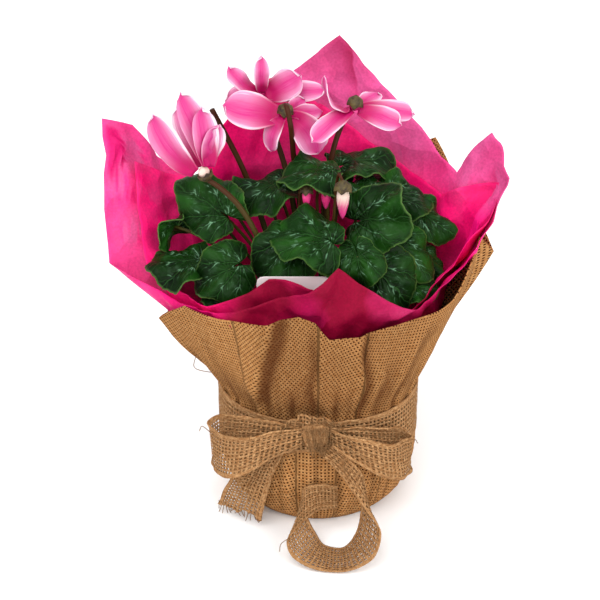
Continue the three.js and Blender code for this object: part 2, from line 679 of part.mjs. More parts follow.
function stemRoute(points) {
  const [x, y] = points[0];
  const foot = crownFoot(x * 3, y * 3);
  return new THREE.CatmullRomCurve3([foot, ...points.map(vector)], false, 'centripetal');
}

function makeFlowerStem({ hub, calyx, stem }) {
  const route = stemRoute(stem);
  const cap = vector(hub).addScaledVector(vector(calyx).normalize(), HUB_RADIUS + GAP + 2);
  route.points.push(cap);
  return join(makeCalyx(hub, calyx, HUB_RADIUS), makeStem(route, FLOWER_STEM_RADIUS, 13));
}

// Buds hang from hooked stalks, each a spindle of rolled petals under its calyx
const BUDS = [
  {
    at: [14, -28.5, 222], radius: 4, half: 12,
    stalk: [[4, -8, 150], [9, -14, 205], [10, -17, 226], [12, -26, 239]],
  },
  {
    at: [4, -11, 215], radius: 3, half: 7,
    stalk: [[1, -4, 150], [-1, -5, 200], [-1, -6, 217], [2, -9, 225]],
  },
  {
    at: [-8, -12, 216], radius: 2.8, half: 6.5,
    stalk: [[-7, -4, 150], [-12, -6, 200], [-12, -7, 218], [-10, -10, 225]],
  },
];

function makeBud({ at, radius, half }) {
  const profile = [
    [0, -half], [0.45 * radius, -0.72 * half], [0.9 * radius, -0.1 * half], [radius, 0.3 * half],
    [0.85 * radius, 0.62 * half], [0.5 * radius, 0.85 * half], [0, 0.95 * half],
  ];
  return upright(profile, 8).translate(...at);
}

function makeBudStalk({ at, radius, half, stalk }) {
  const top = at[2] + 0.95 * half;
  const cupHub = [at[0], at[1], at[2] + 0.6 * half];
  const route = stemRoute(stalk);
  route.points.push(new THREE.Vector3(at[0], at[1], top + 1));
  return join(makeCalyx(cupHub, [0, 0, 1], radius), makeStem(route, 0.9, 12));
}

const SPENT_STALK = [[-26, 11, 150], [-42, 25, 200], [-50, 28, 221], [-67, 26, 259]];

// Assembly

addPart('pot', makePot(), 'pot');
addPart('burlap_wrap', makeBurlap(), 'burlap');
addPart('tissue_outer', makeTissue(0, OUTER_TISSUE_RIM), 'tissueOuter');
addPart('tissue_inner', makeTissue(1, INNER_TISSUE_RIM), 'tissueInner');
addPart('ribbon_band', makeBand(), 'ribbon');
addPart('bow_knot', makeKnot(), 'ribbon');
addPart('bow_loop_left', ribbonAlong(LEFT_LOOP, 13, 2), 'ribbon');
addPart('bow_loop_right', ribbonAlong(RIGHT_LOOP, 13, 2), 'ribbon');
addPart('bow_tail_left', makeLeftTail(), 'ribbon');
addPart('bow_tail_right', ribbonAlong(RIGHT_TAIL, 22, 2), 'ribbon');

LEAVES.forEach((leaf, i) => {
  const petiole = makeStem(petioleRoute(leaf), PETIOLE_RADIUS, 4);
  addPart(`leaf_${String(i + 1).padStart(2, '0')}`, join(makeBlade(leaf), petiole), 'leaf');
});
FLOWERS.forEach((flower, i) => {
  addPart(`flower_${i + 1}_petals`, makeCorolla(flower), 'petal');
  addPart(`flower_${i + 1}_stem`, makeFlowerStem(flower), 'stem');
});
BUDS.forEach((bud, i) => {
  addPart(`bud_${i + 1}_petals`, makeBud(bud), 'petal');
  addPart(`bud_${i + 1}_stem`, makeBudStalk(bud), 'stem');
});
addPart('spent_stalk', makeStem(stemRoute(SPENT_STALK), FLOWER_STEM_RADIUS, 8), 'stem');
addPart('tuber', makeTuber(), 'tuber');
addPart('plant_label', labelPlate(0), 'tag');
addPart('soil', makeSoil(), 'soil');

export default cyclamen;
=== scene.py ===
# Potted cyclamen in a gift wrap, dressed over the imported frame. Sizes in the tables are millimetres,
# and every piece is brought to metres as its points are placed.
import math

import bpy
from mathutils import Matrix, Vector, noise


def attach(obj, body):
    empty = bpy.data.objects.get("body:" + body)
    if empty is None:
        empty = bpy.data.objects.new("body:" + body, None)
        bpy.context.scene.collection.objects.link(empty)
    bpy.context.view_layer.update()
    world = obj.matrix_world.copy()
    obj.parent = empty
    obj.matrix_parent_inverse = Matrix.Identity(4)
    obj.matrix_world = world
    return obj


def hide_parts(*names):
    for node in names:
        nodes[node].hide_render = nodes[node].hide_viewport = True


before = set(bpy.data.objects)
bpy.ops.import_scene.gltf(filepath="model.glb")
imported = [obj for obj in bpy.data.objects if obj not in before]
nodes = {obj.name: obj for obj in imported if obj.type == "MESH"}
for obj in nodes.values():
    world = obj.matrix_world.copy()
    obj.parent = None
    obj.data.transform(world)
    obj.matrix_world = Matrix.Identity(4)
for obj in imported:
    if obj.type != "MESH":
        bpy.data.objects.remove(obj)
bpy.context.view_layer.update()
mm = 0.001
print("frame loaded")

# Camera: looks down on the front, as the photographer did
cameraSet = {"place": (-0.012, -0.948, 0.684), "down": 30, "lens": 101.5}
bpy.ops.object.select_all(action="DESELECT")
bpy.ops.object.camera_add(location=cameraSet["place"],
                          rotation=(math.radians(90 - cameraSet["down"]), 0, 0))
camera = bpy.context.object
camera.data.lens = cameraSet["lens"]
camera.data.sensor_width = 36
bpy.context.scene.camera = camera


def mix(start, end, share):
    return start + (end - start) * share


def fade(value, low, high):  # 0 below low, 1 above high, smooth between
    share = min(1, max(0, (value - low) / (high - low)))
    return share * share * (3 - 2 * share)


def zigzag(value):  # triangle wave between -1 and 1
    return 4 * abs(value - math.floor(value + 0.5)) - 1


# Curves that the pieces follow

def splinePoint(points, share):  # smooth route through all its points
    last = len(points) - 1
    place = min(share, 1) * last
    before = min(int(place), last - 1)
    along = place - before
    start, end = points[before], points[before + 1]
    earlier = points[before - 1] if before > 0 else start * 2 - end
    later = points[before + 2] if before + 2 <= last else end * 2 - start
    stepIn = max((start - earlier).length ** 0.5, 0.01)
    step = max((end - start).length ** 0.5, 0.01)
    stepOut = max((later - end).length ** 0.5, 0.01)
    leave = ((start - earlier) / stepIn - (end - earlier) / (stepIn + step) + (end - start) / step) * step
    arrive = ((end - start) / step - (later - start) / (step + stepOut) + (later - end) / stepOut) * step
    bend = (end - start) * 3 - leave * 2 - arrive
    turn = (start - end) * 2 + leave + arrive
    return start + leave * along + bend * along ** 2 + turn * along ** 3


def bezierPoint(first, second, third, fourth, share):
    rest = 1 - share
    return (first * rest ** 3 + second * 3 * rest * rest * share
            + third * 3 * rest * share * share + fourth * share ** 3)


# Pieces

def fillMap(layer, grid, uvPlace):
    seen = {}
    for corner, spot in zip(layer.data, grid):
        key = (round(spot[0], 5), round(spot[1], 5))
        if key not in seen:
            seen[key] = uvPlace(*spot)
        corner.uv = seen[key]


def laySheet(name, columns, rows, place, uvPlace=None, extraMap=None, closed=False):
    # a grid whose every point goes where place(across, along) says, both from 0 to 1
    bpy.ops.object.select_all(action="DESELECT")
    bpy.ops.mesh.primitive_grid_add(x_subdivisions=columns, y_subdivisions=rows, size=2)
    piece = bpy.context.object
    piece.name = name
    piece.data.name = name
    for vertex in piece.data.vertices:
        vertex.co = place((vertex.co.x + 1) / 2, (vertex.co.y + 1) / 2) * mm
    first = piece.data.uv_layers.active
    grid = [tuple(corner.uv) for corner in first.data]
    if extraMap:
        second = piece.data.uv_layers.new(name="extra")
        fillMap(second, grid, extraMap)
        piece.data.uv_layers.active = first
    if uvPlace:
        fillMap(piece.data.uv_layers["UVMap"], grid, uvPlace)
    bpy.ops.object.mode_set(mode="EDIT")
    bpy.ops.mesh.select_all(action="SELECT")
    bpy.ops.mesh.remove_doubles(threshold=0.00001)
    if closed:
        bpy.ops.mesh.fill_holes(sides=0)
        bpy.ops.mesh.normals_make_consistent(inside=False)
    bpy.ops.object.mode_set(mode="OBJECT")
    return piece


def thicken(piece, thickness, innerSlot=0):
    bpy.context.view_layer.objects.active = piece
    solidify = piece.modifiers.new("thickness", "SOLIDIFY")
    solidify.thickness = thickness * mm
    solidify.offset = 0
    solidify.material_offset = innerSlot
    bpy.ops.object.modifier_apply(modifier=solidify.name)
    piece.select_set(True)
    bpy.ops.object.shade_smooth()


def tube(name, path, radius, sides=8, steps=24):
    start, end = path(0), path(1)
    side = (end - start).cross(Vector((0, 0, 1)))
    if side.length < 12:
        side = Vector((1, 0, 0))

    def place(turn, along):
        tangent = (path(min(along + 0.01, 1)) - path(max(along - 0.01, 0))).normalized()
        across = (side - tangent * side.dot(tangent)).normalized()
        other = tangent.cross(across)
        angle = 2 * math.pi * turn
        return path(along) + (across * math.cos(angle) + other * math.sin(angle)) * radius(along)

    piece = laySheet(name, sides, steps, place, closed=True)
    bpy.ops.object.shade_smooth()
    return piece


def joinPieces(name, pieces):
    bpy.ops.object.select_all(action="DESELECT")
    for piece in pieces:
        piece.select_set(True)
    bpy.context.view_layer.objects.active = pieces[0]
    bpy.ops.object.join()
    pieces[0].name = name
    pieces[0].data.name = name
    return pieces[0]


def paint(piece, *materials):
    piece.data.materials.clear()
    for material in materials:
        piece.data.materials.append(material)


def standFor(piece, slotName, *nodeNames):
    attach(piece, "root")
    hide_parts(*nodeNames)


# Materials

def hexColour(code):
    channels = [int(code[i:i + 2], 16) / 255 for i in (1, 3, 5)]
    return (*[c / 12.92 if c <= 0.04045 else ((c + 0.055) / 1.055) ** 2.4 for c in channels], 1)


def addNode(material, kind, settings, inputs):
    node = material.node_tree.nodes.new("ShaderNode" + kind)
    for name, value in settings.items():
        setattr(node, name, value)
    for name, value in inputs.items():
        if isinstance(value, bpy.types.NodeSocket):
            material.node_tree.links.new(value, node.inputs[name])
        else:
            node.inputs[name].default_value = value
    return node


def newMaterial(name):
    material = bpy.data.materials.new(name)
    material.use_nodes = True
    material.node_tree.nodes.clear()
    return material


def finishMaterial(material, inputs):
    shader = addNode(material, "BsdfPrincipled", {}, inputs)
    addNode(material, "OutputMaterial", {}, {"Surface": shader.outputs[0]})
    return material


def surface(material, colour, roughness, specular, bump, extra=()):
    # bump gives its strength, its distance in metres and the height that it follows
    normal = addNode(material, "Bump", {}, dict(zip(("Strength", "Distance", "Height"), bump)))
    return finishMaterial(material, {"Base Color": colour, "Roughness": roughness,
                                     "Specular IOR Level": specular, "Normal": normal.outputs[0],
                                     **dict(extra)})


def maths(material, operation, *values, clamp=False):
    settings = {"operation": operation, "use_clamp": clamp}
    return addNode(material, "Math", settings, dict(enumerate(values))).outputs[0]


def product(material, total, *others):
    for other in others:
        total = maths(material, "MULTIPLY", total, other)
    return total


def ramp(material, value, low, high, start, end, kind="SMOOTHSTEP"):
    inputs = {0: value, 1: low, 2: high, 3: start, 4: end}
    return addNode(material, "MapRange", {"interpolation_type": kind}, inputs).outputs[0]


def blend(material, share, first, second):
    tones = [hexColour(tone) if isinstance(tone, str) else tone for tone in (first, second)]
    return addNode(material, "Mix", {"data_type": "RGBA"}, {0: share, 6: tones[0], 7: tones[1]}).outputs[2]


def scaled(material, value, factor):
    return addNode(material, "VectorMath", {"operation": "SCALE"}, {0: value, "Scale": factor}).outputs[0]


def shifted(material, value, shift, operation="ADD"):
    return addNode(material, "VectorMath", {"operation": operation}, {0: value, 1: shift}).outputs[0]


def grain(material, spot, scale, detail, roughness=0.5, output="Fac"):
    inputs = {"Vector": spot, "Scale": scale, "Detail": detail, "Roughness": roughness}
    return addNode(material, "TexNoise", {}, inputs).outputs[output]


def split(material, value):
    return addNode(material, "SeparateXYZ", {}, {0: value}).outputs


def uvSpot(material, name="UVMap"):
    return addNode(material, "UVMap", {"uv_map": name}, {}).outputs[0]


def objectSpot(material):
    return addNode(material, "TexCoord", {}, {}).outputs["Object"]


def weave(material, across, along, cover):
    # plain weave of round threads from two thread counts: height of the cloth, and thread or hole
    profiles = []
    swings = []
    for count in (across, along):
        wide = product(material, maths(material, "PINGPONG", count, 0.5), 2 / cover)
        rounded = maths(material, "POWER", wide, 2)
        profiles.append(maths(material, "SUBTRACT", 1, rounded, clamp=True))
        swings.append(maths(material, "COSINE", product(material, count, math.pi)))
    high = maths(material, "MULTIPLY_ADD", product(material, *swings), 0.45, 0.55)
    low = maths(material, "SUBTRACT", 1.1, high)
    first = product(material, profiles[0], high)
    second = product(material, profiles[1], low)
    return maths(material, "MAXIMUM", first, second), maths(material, "MAXIMUM", *profiles)


def threadCounts(material, pitch, wander):
    # the piece's UV map, in metres, as thread counts that wander as hand-spun threads do
    spot = uvSpot(material)
    drift = grain(material, spot, 90, 2, output="Color")
    centred = shifted(material, drift, (0.5, 0.5, 0.5), "SUBTRACT")
    placed = shifted(material, spot, scaled(material, centred, wander * mm))
    counts = split(material, scaled(material, placed, 1 / (pitch * mm)))
    return counts[0], counts[1], spot


def yarnFibre(material, spot, scale, tones):
    yarns = ramp(material, grain(material, spot, scale, 3, 0.7), 0.3, 0.7, 0, 1, "LINEAR")
    return blend(material, yarns, tones["deep"], tones["pale"])


# Burlap: plain weave of single jute yarns, open enough to see between them, with the holes painted dark as
# painted shade of what lies behind
burlapSet = {"pitch": 2.35, "wander": 0.9, "cover": 0.63, "thread": "#A77546", "pale": "#C49764",
             "deep": "#7E4C1F", "hole": "#321406", "shade": "#4E2712"}


def makeBurlapMaterial():
    material = newMaterial("unbleached jute burlap, open plain weave")
    across, along, spot = threadCounts(material, burlapSet["pitch"], burlapSet["wander"])
    height, cloth = weave(material, across, along, burlapSet["cover"])
    fibre = yarnFibre(material, spot, 260, burlapSet)
    body = blend(material, grain(material, spot, 22, 2), fibre, burlapSet["thread"])
    # painted shade: where no yarn lies, the cloth takes the dark hole colour
    colour = blend(material, ramp(material, cloth, 0, 0.5, 0, 1), burlapSet["hole"], body)
    depth = split(material, uvSpot(material, "extra"))[0]  # how deep in a fold the cloth lies: painted shade, and painted light where below zero
    # painted light lifts the colour where the fold value is below zero; painted shade darkens it towards the
    # shade colour in the folds
    lit = scaled(material, colour, ramp(material, depth, -1, 0.2, 1.55, 0.95, "LINEAR"))
    foldShaded = blend(material, ramp(material, depth, 0, 1, 0, 0.78, "LINEAR"), lit, burlapSet["shade"])
    return surface(material, foldShaded, 0.92, 0.02, (0.9, 0.0008, height))


# Jute ribbon: loose net of thin pale yarns, with holes that show what lies behind, and closer
# yarns along both edges
ribbonSet = {"pitch": 3.1, "wander": 1.9, "cover": 0.49, "dense": 0.7, "thread": "#A2703F",
             "pale": "#CBA377", "deep": "#704322", "width": 38, "edge": 2.6, "thickness": 0.8}


def makeRibbonMaterial(name, cover, holes):
    material = newMaterial(name)
    across, along, spot = threadCounts(material, ribbonSet["pitch"], ribbonSet["wander"])
    height, cloth = weave(material, across, along, cover)
    body = blend(material, 0.35, yarnFibre(material, spot, 330, ribbonSet), ribbonSet["thread"])
    seeThrough = {}
    if holes:
        hairy = maths(material, "MULTIPLY_ADD", grain(material, spot, 800, 4, 0.8), 0.8, -0.44)
        filled = maths(material, "ADD", cloth, hairy)
        fromEdge = maths(material, "PINGPONG", split(material, spot)[1], ribbonSet["width"] / 2 * mm)
        edge = maths(material, "LESS_THAN", fromEdge, ribbonSet["edge"] * mm)
        seeThrough["Alpha"] = maths(material, "GREATER_THAN", maths(material, "ADD", filled, edge), 0.06)
    return surface(material, body, 0.9, 0.03, (0.9, 0.0008, height), seeThrough)


# Tissue: thin dyed paper, matt, with a fibrous mottle. The piece's UV map holds painted light and painted
# shade: how pale a single front-lit layer looks, and how deep in painted shade the paper lies in the folds.
# pale is the colour of painted light on a single layer, and deep the crimson of painted shade
tissueSet = {"outer": "#F01078", "inner": "#EA0A68", "pale": "#D2528C", "deep": "#7C0227", "mottle": 1.6,
             "facet": 17, "fold": 24}


def makeTissueMaterial(name, body):
    material = newMaterial(name)
    spot = objectSpot(material)
    tones = split(material, uvSpot(material))
    drift = maths(material, "MULTIPLY_ADD", grain(material, spot, 26, 3), 0.9, -0.45)
    # painted light towards the pale colour and painted shade towards the deep crimson, as the UV map says
    tone = blend(material, maths(material, "ADD", tones[0], drift, clamp=True), body, tissueSet["pale"])
    paintedShadeShare = maths(material, "SUBTRACT", tones[1], drift, clamp=True)
    shaded = blend(material, paintedShadeShare, tone, tissueSet["deep"])
    fibres = grain(material, spot, 1 / (tissueSet["mottle"] * mm), 3)
    colour = scaled(material, shaded, ramp(material, fibres, 0.35, 0.65, 0.9, 1.08, "LINEAR"))
    pushed = scaled(material, grain(material, spot, 40, 1, output="Color"), 0.012)
    crumpled = shifted(material, spot, pushed)
    facets, facetShadeCells = [addNode(material, "TexVoronoi", {"feature": "F1"},
                             {"Vector": crumpled, "Scale": 1 / (tissueSet[size] * mm)})
                     for size in ("facet", "fold")]
    fine = maths(material, "MULTIPLY_ADD", fibres, 0.05, facets.outputs[0])
    # painted light and shade: each fold-sized cell is a little lighter or darker, like crumpled facets that
    # face the lamps in different ways
    tilt = ramp(material, facetShadeCells.outputs["Color"], 0.2, 0.8, 0.93, 1.08, "LINEAR")
    return surface(material, scaled(material, colour, tilt), 0.6, 0.08, (0.8, 0.003, fine),
                   {"Subsurface Weight": 0.06, "Subsurface Radius": (0.0016, 0.0006, 0.001),
                    "Subsurface Scale": 1.0})


# Leaf: waxy satin upper skin with silver marbling beside its veins, and a duller red-green underside.
# UV holds the painted light and shade of that part of the blade, and the share of the way out to the edge.
leafSet = {"deep": "#051703", "body": "#0A2607", "young": "#193F0D", "rim": "#4C6B33", "silver": "#5F8767",
           "vein": "#31612B", "under": "#3C471D", "underDeep": "#2D2011", "veinStep": 0.49, "branches": 8}


def makeLeafMaterial():
    material = newMaterial("cyclamen leaf, waxy upper skin")
    light, outward = split(material, uvSpot(material))[:2]
    spot = objectSpot(material)
    patches = ramp(material, grain(material, spot, 60, 3), 0.35, 0.65, 0, 1, "LINEAR")
    green = blend(material, patches, leafSet["deep"], leafSet["young"])
    tone = blend(material, 0.45, green, leafSet["body"])
    # the blade's own flat coordinates, from the notch: main veins fan out, branches leave them in Vs
    flat = uvSpot(material, "extra")
    planar = split(material, flat)
    bent = maths(material, "MULTIPLY_ADD", grain(material, spot, 120, 1), 0.5, -0.25)
    swing = maths(material, "ARCTAN2", planar[1], planar[0])
    away = addNode(material, "VectorMath", {"operation": "LENGTH"}, {0: flat}).outputs["Value"]
    fan = maths(material, "MULTIPLY_ADD", swing, 1 / leafSet["veinStep"], bent)
    off = maths(material, "PINGPONG", fan, 0.5)
    beside = product(material, off, away)
    main = ramp(material, beside, 0.006, 0.028, 1, 0)
    ahead = maths(material, "MULTIPLY_ADD", beside, -0.75, away)
    rows = maths(material, "MULTIPLY_ADD", ahead, leafSet["branches"], bent)
    branch = ramp(material, maths(material, "PINGPONG", rows, 0.5), 0.03, 0.16, 1, 0)
    branches = product(material, branch, ramp(material, off, 0.2, 0.46, 1, 0))
    veins = maths(material, "MAXIMUM", main, product(material, branches, 0.4))
    # painted light where the skin bulges between the veins, and painted shade beside them and round the notch
    bulgeLight = ramp(material, off, 0.02, 0.4, 0.62, 1.25)
    notchShade = ramp(material, away, 0.05, 0.42, 0.5, 1.1)
    lit = product(material, bulgeLight, notchShade, light)
    withVeins = blend(material, product(material, veins, 0.36), scaled(material, tone, lit),
                      leafSet["vein"])
    # silver flecks lie in a band half way out, broken up, and strongest along the branches
    band = product(material, ramp(material, outward, 0.25, 0.4, 0, 1),
                   ramp(material, outward, 0.5, 0.78, 1, 0))
    flecks = ramp(material, grain(material, spot, 240, 3), 0.47, 0.62, 0, 1)
    nearVein = ramp(material, maths(material, "MAXIMUM", main, branches), 0, 1, 0.07, 1, "LINEAR")
    silver = product(material, flecks, nearVein, band)
    marbled = blend(material, silver, withVeins, leafSet["silver"])
    colour = blend(material, ramp(material, outward, 0.945, 1.0, 0, 0.8), marbled, leafSet["rim"])
    sunk = maths(material, "MULTIPLY_ADD", veins, -0.7, grain(material, spot, 260, 3))
    return surface(material, colour, 0.4, 0.07, (0.7, 0.0013, sunk))


def makeUndersideMaterial():
    material = newMaterial("cyclamen leaf, dull underside")
    cloud = grain(material, objectSpot(material), 80, 3)
    colour = blend(material, cloud, leafSet["under"], leafSet["underDeep"])
    return surface(material, colour, 0.6, 0.1, (0.3, 0.0005, cloud))


# Petal: soft satin, deep at the throat, white along the edges, with fine streaks from base to tip
petalSet = {"throat": "#A80353", "body": "#BC2472", "light": "#C65891", "soft": "#D498B8",
            "edge": "#ECD6E0", "streaks": (26, 2.2, 1)}


def streaksAlong(material, uv, scale):
    stretched = addNode(material, "Mapping", {}, {0: uv, "Scale": scale}).outputs[0]
    return grain(material, stretched, 1, 2)


def makePetalMaterial():
    material = newMaterial("cyclamen petal, picotee pink satin")
    uv = uvSpot(material)
    across, along = split(material, uv)[:2]
    streak = streaksAlong(material, uv, petalSet["streaks"])
    streaks = ramp(material, streak, 0.3, 0.7, 0, 0.55, "LINEAR")
    body = blend(material, streaks, petalSet["body"], petalSet["light"])
    off = maths(material, "ABSOLUTE", maths(material, "SUBTRACT", across, 0.5))
    softened = blend(material, ramp(material, off, 0.06, 0.5, 0, 0.75), body, petalSet["soft"])
    tone = blend(material, ramp(material, along, 0.14, 0.68, 1, 0), softened, petalSet["throat"])
    uneven = maths(material, "ADD", off, maths(material, "MULTIPLY_ADD", streak, 0.24, -0.12))
    rim = maths(material, "MAXIMUM", ramp(material, uneven, 0.4, 0.53, 0, 0.8),
                ramp(material, along, 0.97, 1.0, 0, 0.4))
    white = product(material, rim, ramp(material, along, 0.12, 0.5, 0.1, 1))
    colour = blend(material, white, tone, petalSet["edge"])
    ridged = maths(material, "ADD", streak, grain(material, objectSpot(material), 500, 2))
    return surface(material, colour, 0.5, 0.2, (0.25, 0.0006, ridged),
                   {"Subsurface Weight": 0.25, "Subsurface Radius": (0.002, 0.0008, 0.0012),
                    "Subsurface Scale": 1.0})


# A plain finish with a mottled colour, for the pieces that are mostly hidden
def makeMottledMaterial(name, dark, light, scale, roughness, bumpHeight):
    material = newMaterial(name)
    cloud = grain(material, objectSpot(material), scale, 5, 0.65)
    colour = blend(material, ramp(material, cloud, 0.35, 0.65, 0, 1, "LINEAR"), dark, light)
    return surface(material, colour, roughness, 0.35, (0.6, bumpHeight * mm, cloud))


# Stalk: smooth skin, green near the soil and red-brown higher up
stemSet = {"low": "#3C3A14", "high": "#3C1C0C"}


def makeStemMaterial():
    material = newMaterial("cyclamen stalk, red-brown skin over green")
    spot = objectSpot(material)
    cloud = grain(material, spot, 70, 2)
    ragged = maths(material, "MULTIPLY_ADD", cloud, 0.06, split(material, spot)[2])
    colour = blend(material, ramp(material, ragged, 0.2, 0.27, 0, 1), stemSet["low"], stemSet["high"])
    return surface(material, colour, 0.45, 0.12, (0.3, 0.0004, cloud))


# Bud: rolled petals, cream under the calyx and pink at the point
budSet = {"cream": "#D3BAAE", "green": "#999563", "pink": "#C43575", "streaks": (20, 2, 1)}


def makeBudMaterial():
    material = newMaterial("cyclamen bud, rolled cream and pink petals")
    uv = uvSpot(material)
    streak = streaksAlong(material, uv, budSet["streaks"])
    ragged = maths(material, "MULTIPLY_ADD", streak, 0.35, split(material, uv)[1])
    cream = blend(material, ramp(material, ragged, 0.75, 1.05, 0, 0.7), budSet["cream"], budSet["green"])
    colour = blend(material, ramp(material, ragged, 0.38, 0.72, 1, 0), cream, budSet["pink"])
    return surface(material, colour, 0.5, 0.2, (0.3, 0.0004, streak))


burlap = makeBurlapMaterial()
ribbon = makeRibbonMaterial("natural jute ribbon, loose net weave", ribbonSet["cover"], True)
ribbonDense = makeRibbonMaterial("natural jute ribbon, gathered close", ribbonSet["dense"], False)
# painted light and shade: the outer sheet is a lighter copy of the tissue and the inner sheet a deeper one
tissueOuterLit = makeTissueMaterial("magenta tissue paper, outer sheet", tissueSet["outer"])
tissueInnerShaded = makeTissueMaterial("magenta tissue paper, inner sheet", tissueSet["inner"])
leafSkin = makeLeafMaterial()
leafUnder = makeUndersideMaterial()
petalSkin = makePetalMaterial()
stemSkin = makeStemMaterial()
calyxSkin = makeMottledMaterial("cyclamen calyx, dry green-brown", "#24160A", "#564A22", 300, 0.6, 0.5)
throatSkin = makeMottledMaterial("cyclamen throat, deep magenta", "#8D0947", "#BC1368", 200, 0.5, 0.3)
mouthSkin = makeMottledMaterial("cyclamen mouth, cream rim", "#C9A79A", "#E2CDBE", 160, 0.5, 0.3)
budSkin = makeBudMaterial()
budTipSkin = makeMottledMaterial("cyclamen bud, bright pink point", "#C91262", "#E14185", 160, 0.5, 0.3)
nurseryPlastic = makeMottledMaterial("black polypropylene, moulded", "#1B1917", "#2C2926", 90, 0.45, 0.2)
# painted reflection: the white label takes a faint pink cast of the tissue round it
labelPlastic = makeMottledMaterial("white polystyrene label, painted pink reflection", "#E0CFD2", "#E6DADC", 30,
                                   0.35, 0.05)
pottingSoil = makeMottledMaterial("damp peat potting soil", "#140D08", "#3A281B", 260, 0.95, 4)
tuberCork = makeMottledMaterial("cyclamen tuber, corky skin", "#3A281B", "#5E4530", 120, 0.9, 2)
print("materials made")

# Wrap. A rim lists the corners of a sheet's upper edge: degrees from +X, radius and height.
# A sheet's columns start at the back, where its edges overlap.
wrapSet = {"waist": 65.8, "bellyOut": 3, "fold": 1.5, "folds": 13, "columns": 320, "flareRows": 42}
outerTissueRim = [
    (0, 111, 196), (7, 118, 218), (13, 121, 235), (18, 118, 239), (22.5, 109, 226), (27, 100, 206),
    (36, 98, 211), (45, 96, 228), (63, 90, 255), (81, 85, 285), (99, 83, 264), (117, 84, 246),
    (135, 88, 229), (141, 90, 220), (147, 95, 200), (153, 104, 208), (157.5, 112, 219), (162, 122, 243),
    (171, 137, 255), (180, 134, 164), (189, 106, 154), (198, 94, 151), (216, 85, 158), (234, 82, 167),
    (252, 77, 179), (261, 76, 184), (270, 75, 191), (279, 74, 198), (288, 76, 189), (306, 82, 171),
    (315, 86, 164), (324, 89, 165), (333, 95, 169), (342, 101, 176), (351, 106, 184),
]
innerTissueRim = [
    (0, 108, 196), (5, 114, 206), (9, 115, 212), (14, 106, 208), (18, 97, 203), (27, 91, 192),
    (45, 84, 200), (63, 79, 216), (81, 77, 232), (99, 79, 250), (108, 80, 262), (117, 82, 258),
    (126, 84, 246), (135, 86, 232), (141, 87, 219), (148, 90, 200), (153, 94, 203), (162, 106, 213),
    (171, 117, 227), (180, 112, 190), (186, 110, 168), (191, 103, 158), (198, 91, 156), (216, 84, 161),
    (234, 76, 176), (243, 73, 186), (252, 71, 188), (261, 70, 188), (270, 69, 184), (288, 68, 168),
    (306, 74, 160), (324, 82, 160), (342, 94, 172), (351, 99, 186),
]
burlapRim = [
    (0, 101, 183), (5, 112, 166), (11, 111, 173), (18, 105, 182), (27, 103, 190), (36, 106, 205),
    (45, 110, 216.5), (54, 101, 207), (72, 92, 196), (90, 88, 190), (108, 86, 182), (126, 86, 172),
    (144, 87, 158), (162, 90, 140), (180, 98, 128), (189, 103, 133), (198, 99, 146), (207, 94, 157),
    (225, 88, 159), (243, 83, 164), (261, 83, 172), (268, 82.5, 168), (274, 81, 156), (279, 81, 156),
    (297, 83, 159), (315, 86, 160), (333, 88, 161), (344.6, 93.5, 174), (352, 97, 180),
]


def rimAt(rim, degrees):
    for start, end in zip(rim, rim[1:] + [(360, *rim[0][1:])]):
        if start[0] <= degrees <= end[0]:
            share = (degrees - start[0]) / (end[0] - start[0])
            return mix(start[1], end[1], share), mix(start[2], end[2], share)


def belly(rise, angle):
    wave = wrapSet["fold"] * math.cos(wrapSet["folds"] * angle)
    return (1 - math.exp(-rise / 40)) * (wrapSet["bellyOut"] + wave)


def wrapPlace(sheet):
    lower = sheet["lower"]
    waist = lower[-1][0]
    rows = len(lower) + wrapSet["flareRows"]

    def place(turn, along):
        degrees = (turn * 360 + 90) % 360
        angle = math.radians(degrees)
        row = round(along * rows)
        lift = sheet["lift"] * max(0, -math.sin(angle)) ** 2
        if row == 0:
            return Vector((0, 0, lower[0][1]))
        if row <= len(lower):
            radius, height = lower[row - 1]
            height += lift * max(0, height - 40) / (lower[-1][1] - 40)
        else:
            rimRadius, rimHeight = rimAt(sheet["rim"], degrees)
            start = lower[-1][1] + lift
            share = (row - len(lower)) / wrapSet["flareRows"]
            height = mix(start, rimHeight, share)
            radius = mix(waist, rimRadius - belly(rimHeight - start, angle), share)
            radius += belly(height - start, angle)
        radius += sheet["relief"](degrees, height)
        return Vector((radius * math.cos(angle), radius * math.sin(angle), height))

    return place, rows


# Creases: flat facets between straight ridges, the same for both sheets so that they nest
creaseSet = [(18, 71, 2.4), (64, 53, 2.1), (103, 62, 2.0), (151, 33, 1.4), (84, 19, 0.8), (35, 14, 0.4)]
crumpleSet = [(28, 17, 1.3), (128, 21, 1.6), (72, 13, 0.8)]
creaseRadius = 90
# Sharp folds: from and to as degrees and height, depth, and how far each one's slopes reach
foldLines = [
    ((166, 234), (170.5, 228), 3.4, 8), ((170.5, 228), (174, 217), 4.0, 8),
    ((174, 217), (172, 200), 4.0, 8), ((178, 199), (173, 206), 3.2, 7),
    ((172, 200), (178.5, 165), 2.8, 7), ((160, 238), (166, 200), -2.4, 12),
    ((17, 188), (12.5, 203), 4.6, 8), ((12.5, 203), (6, 217), 4.6, 8), ((22, 205), (20, 160), -3.0, 9),
    ((352, 175), (5, 150), 2.6, 9), ((40, 205), (58, 150), 1.6, 12), ((95, 250), (112, 160), 1.6, 14),
    ((282, 190), (262, 150), -3.2, 8), ((300, 182), (286, 140), 2.6, 7),
    ((236, 168), (246, 130), -2.4, 8), ((320, 168), (300, 150), -2.4, 7),
    ((214, 155), (226, 128), 2.0, 8), ((140, 222), (150, 150), -2.0, 12),
]


def hill(value, middle, reach):
    return fade(reach - abs((value - middle + 180) % 360 - 180), 0, reach * 0.6)


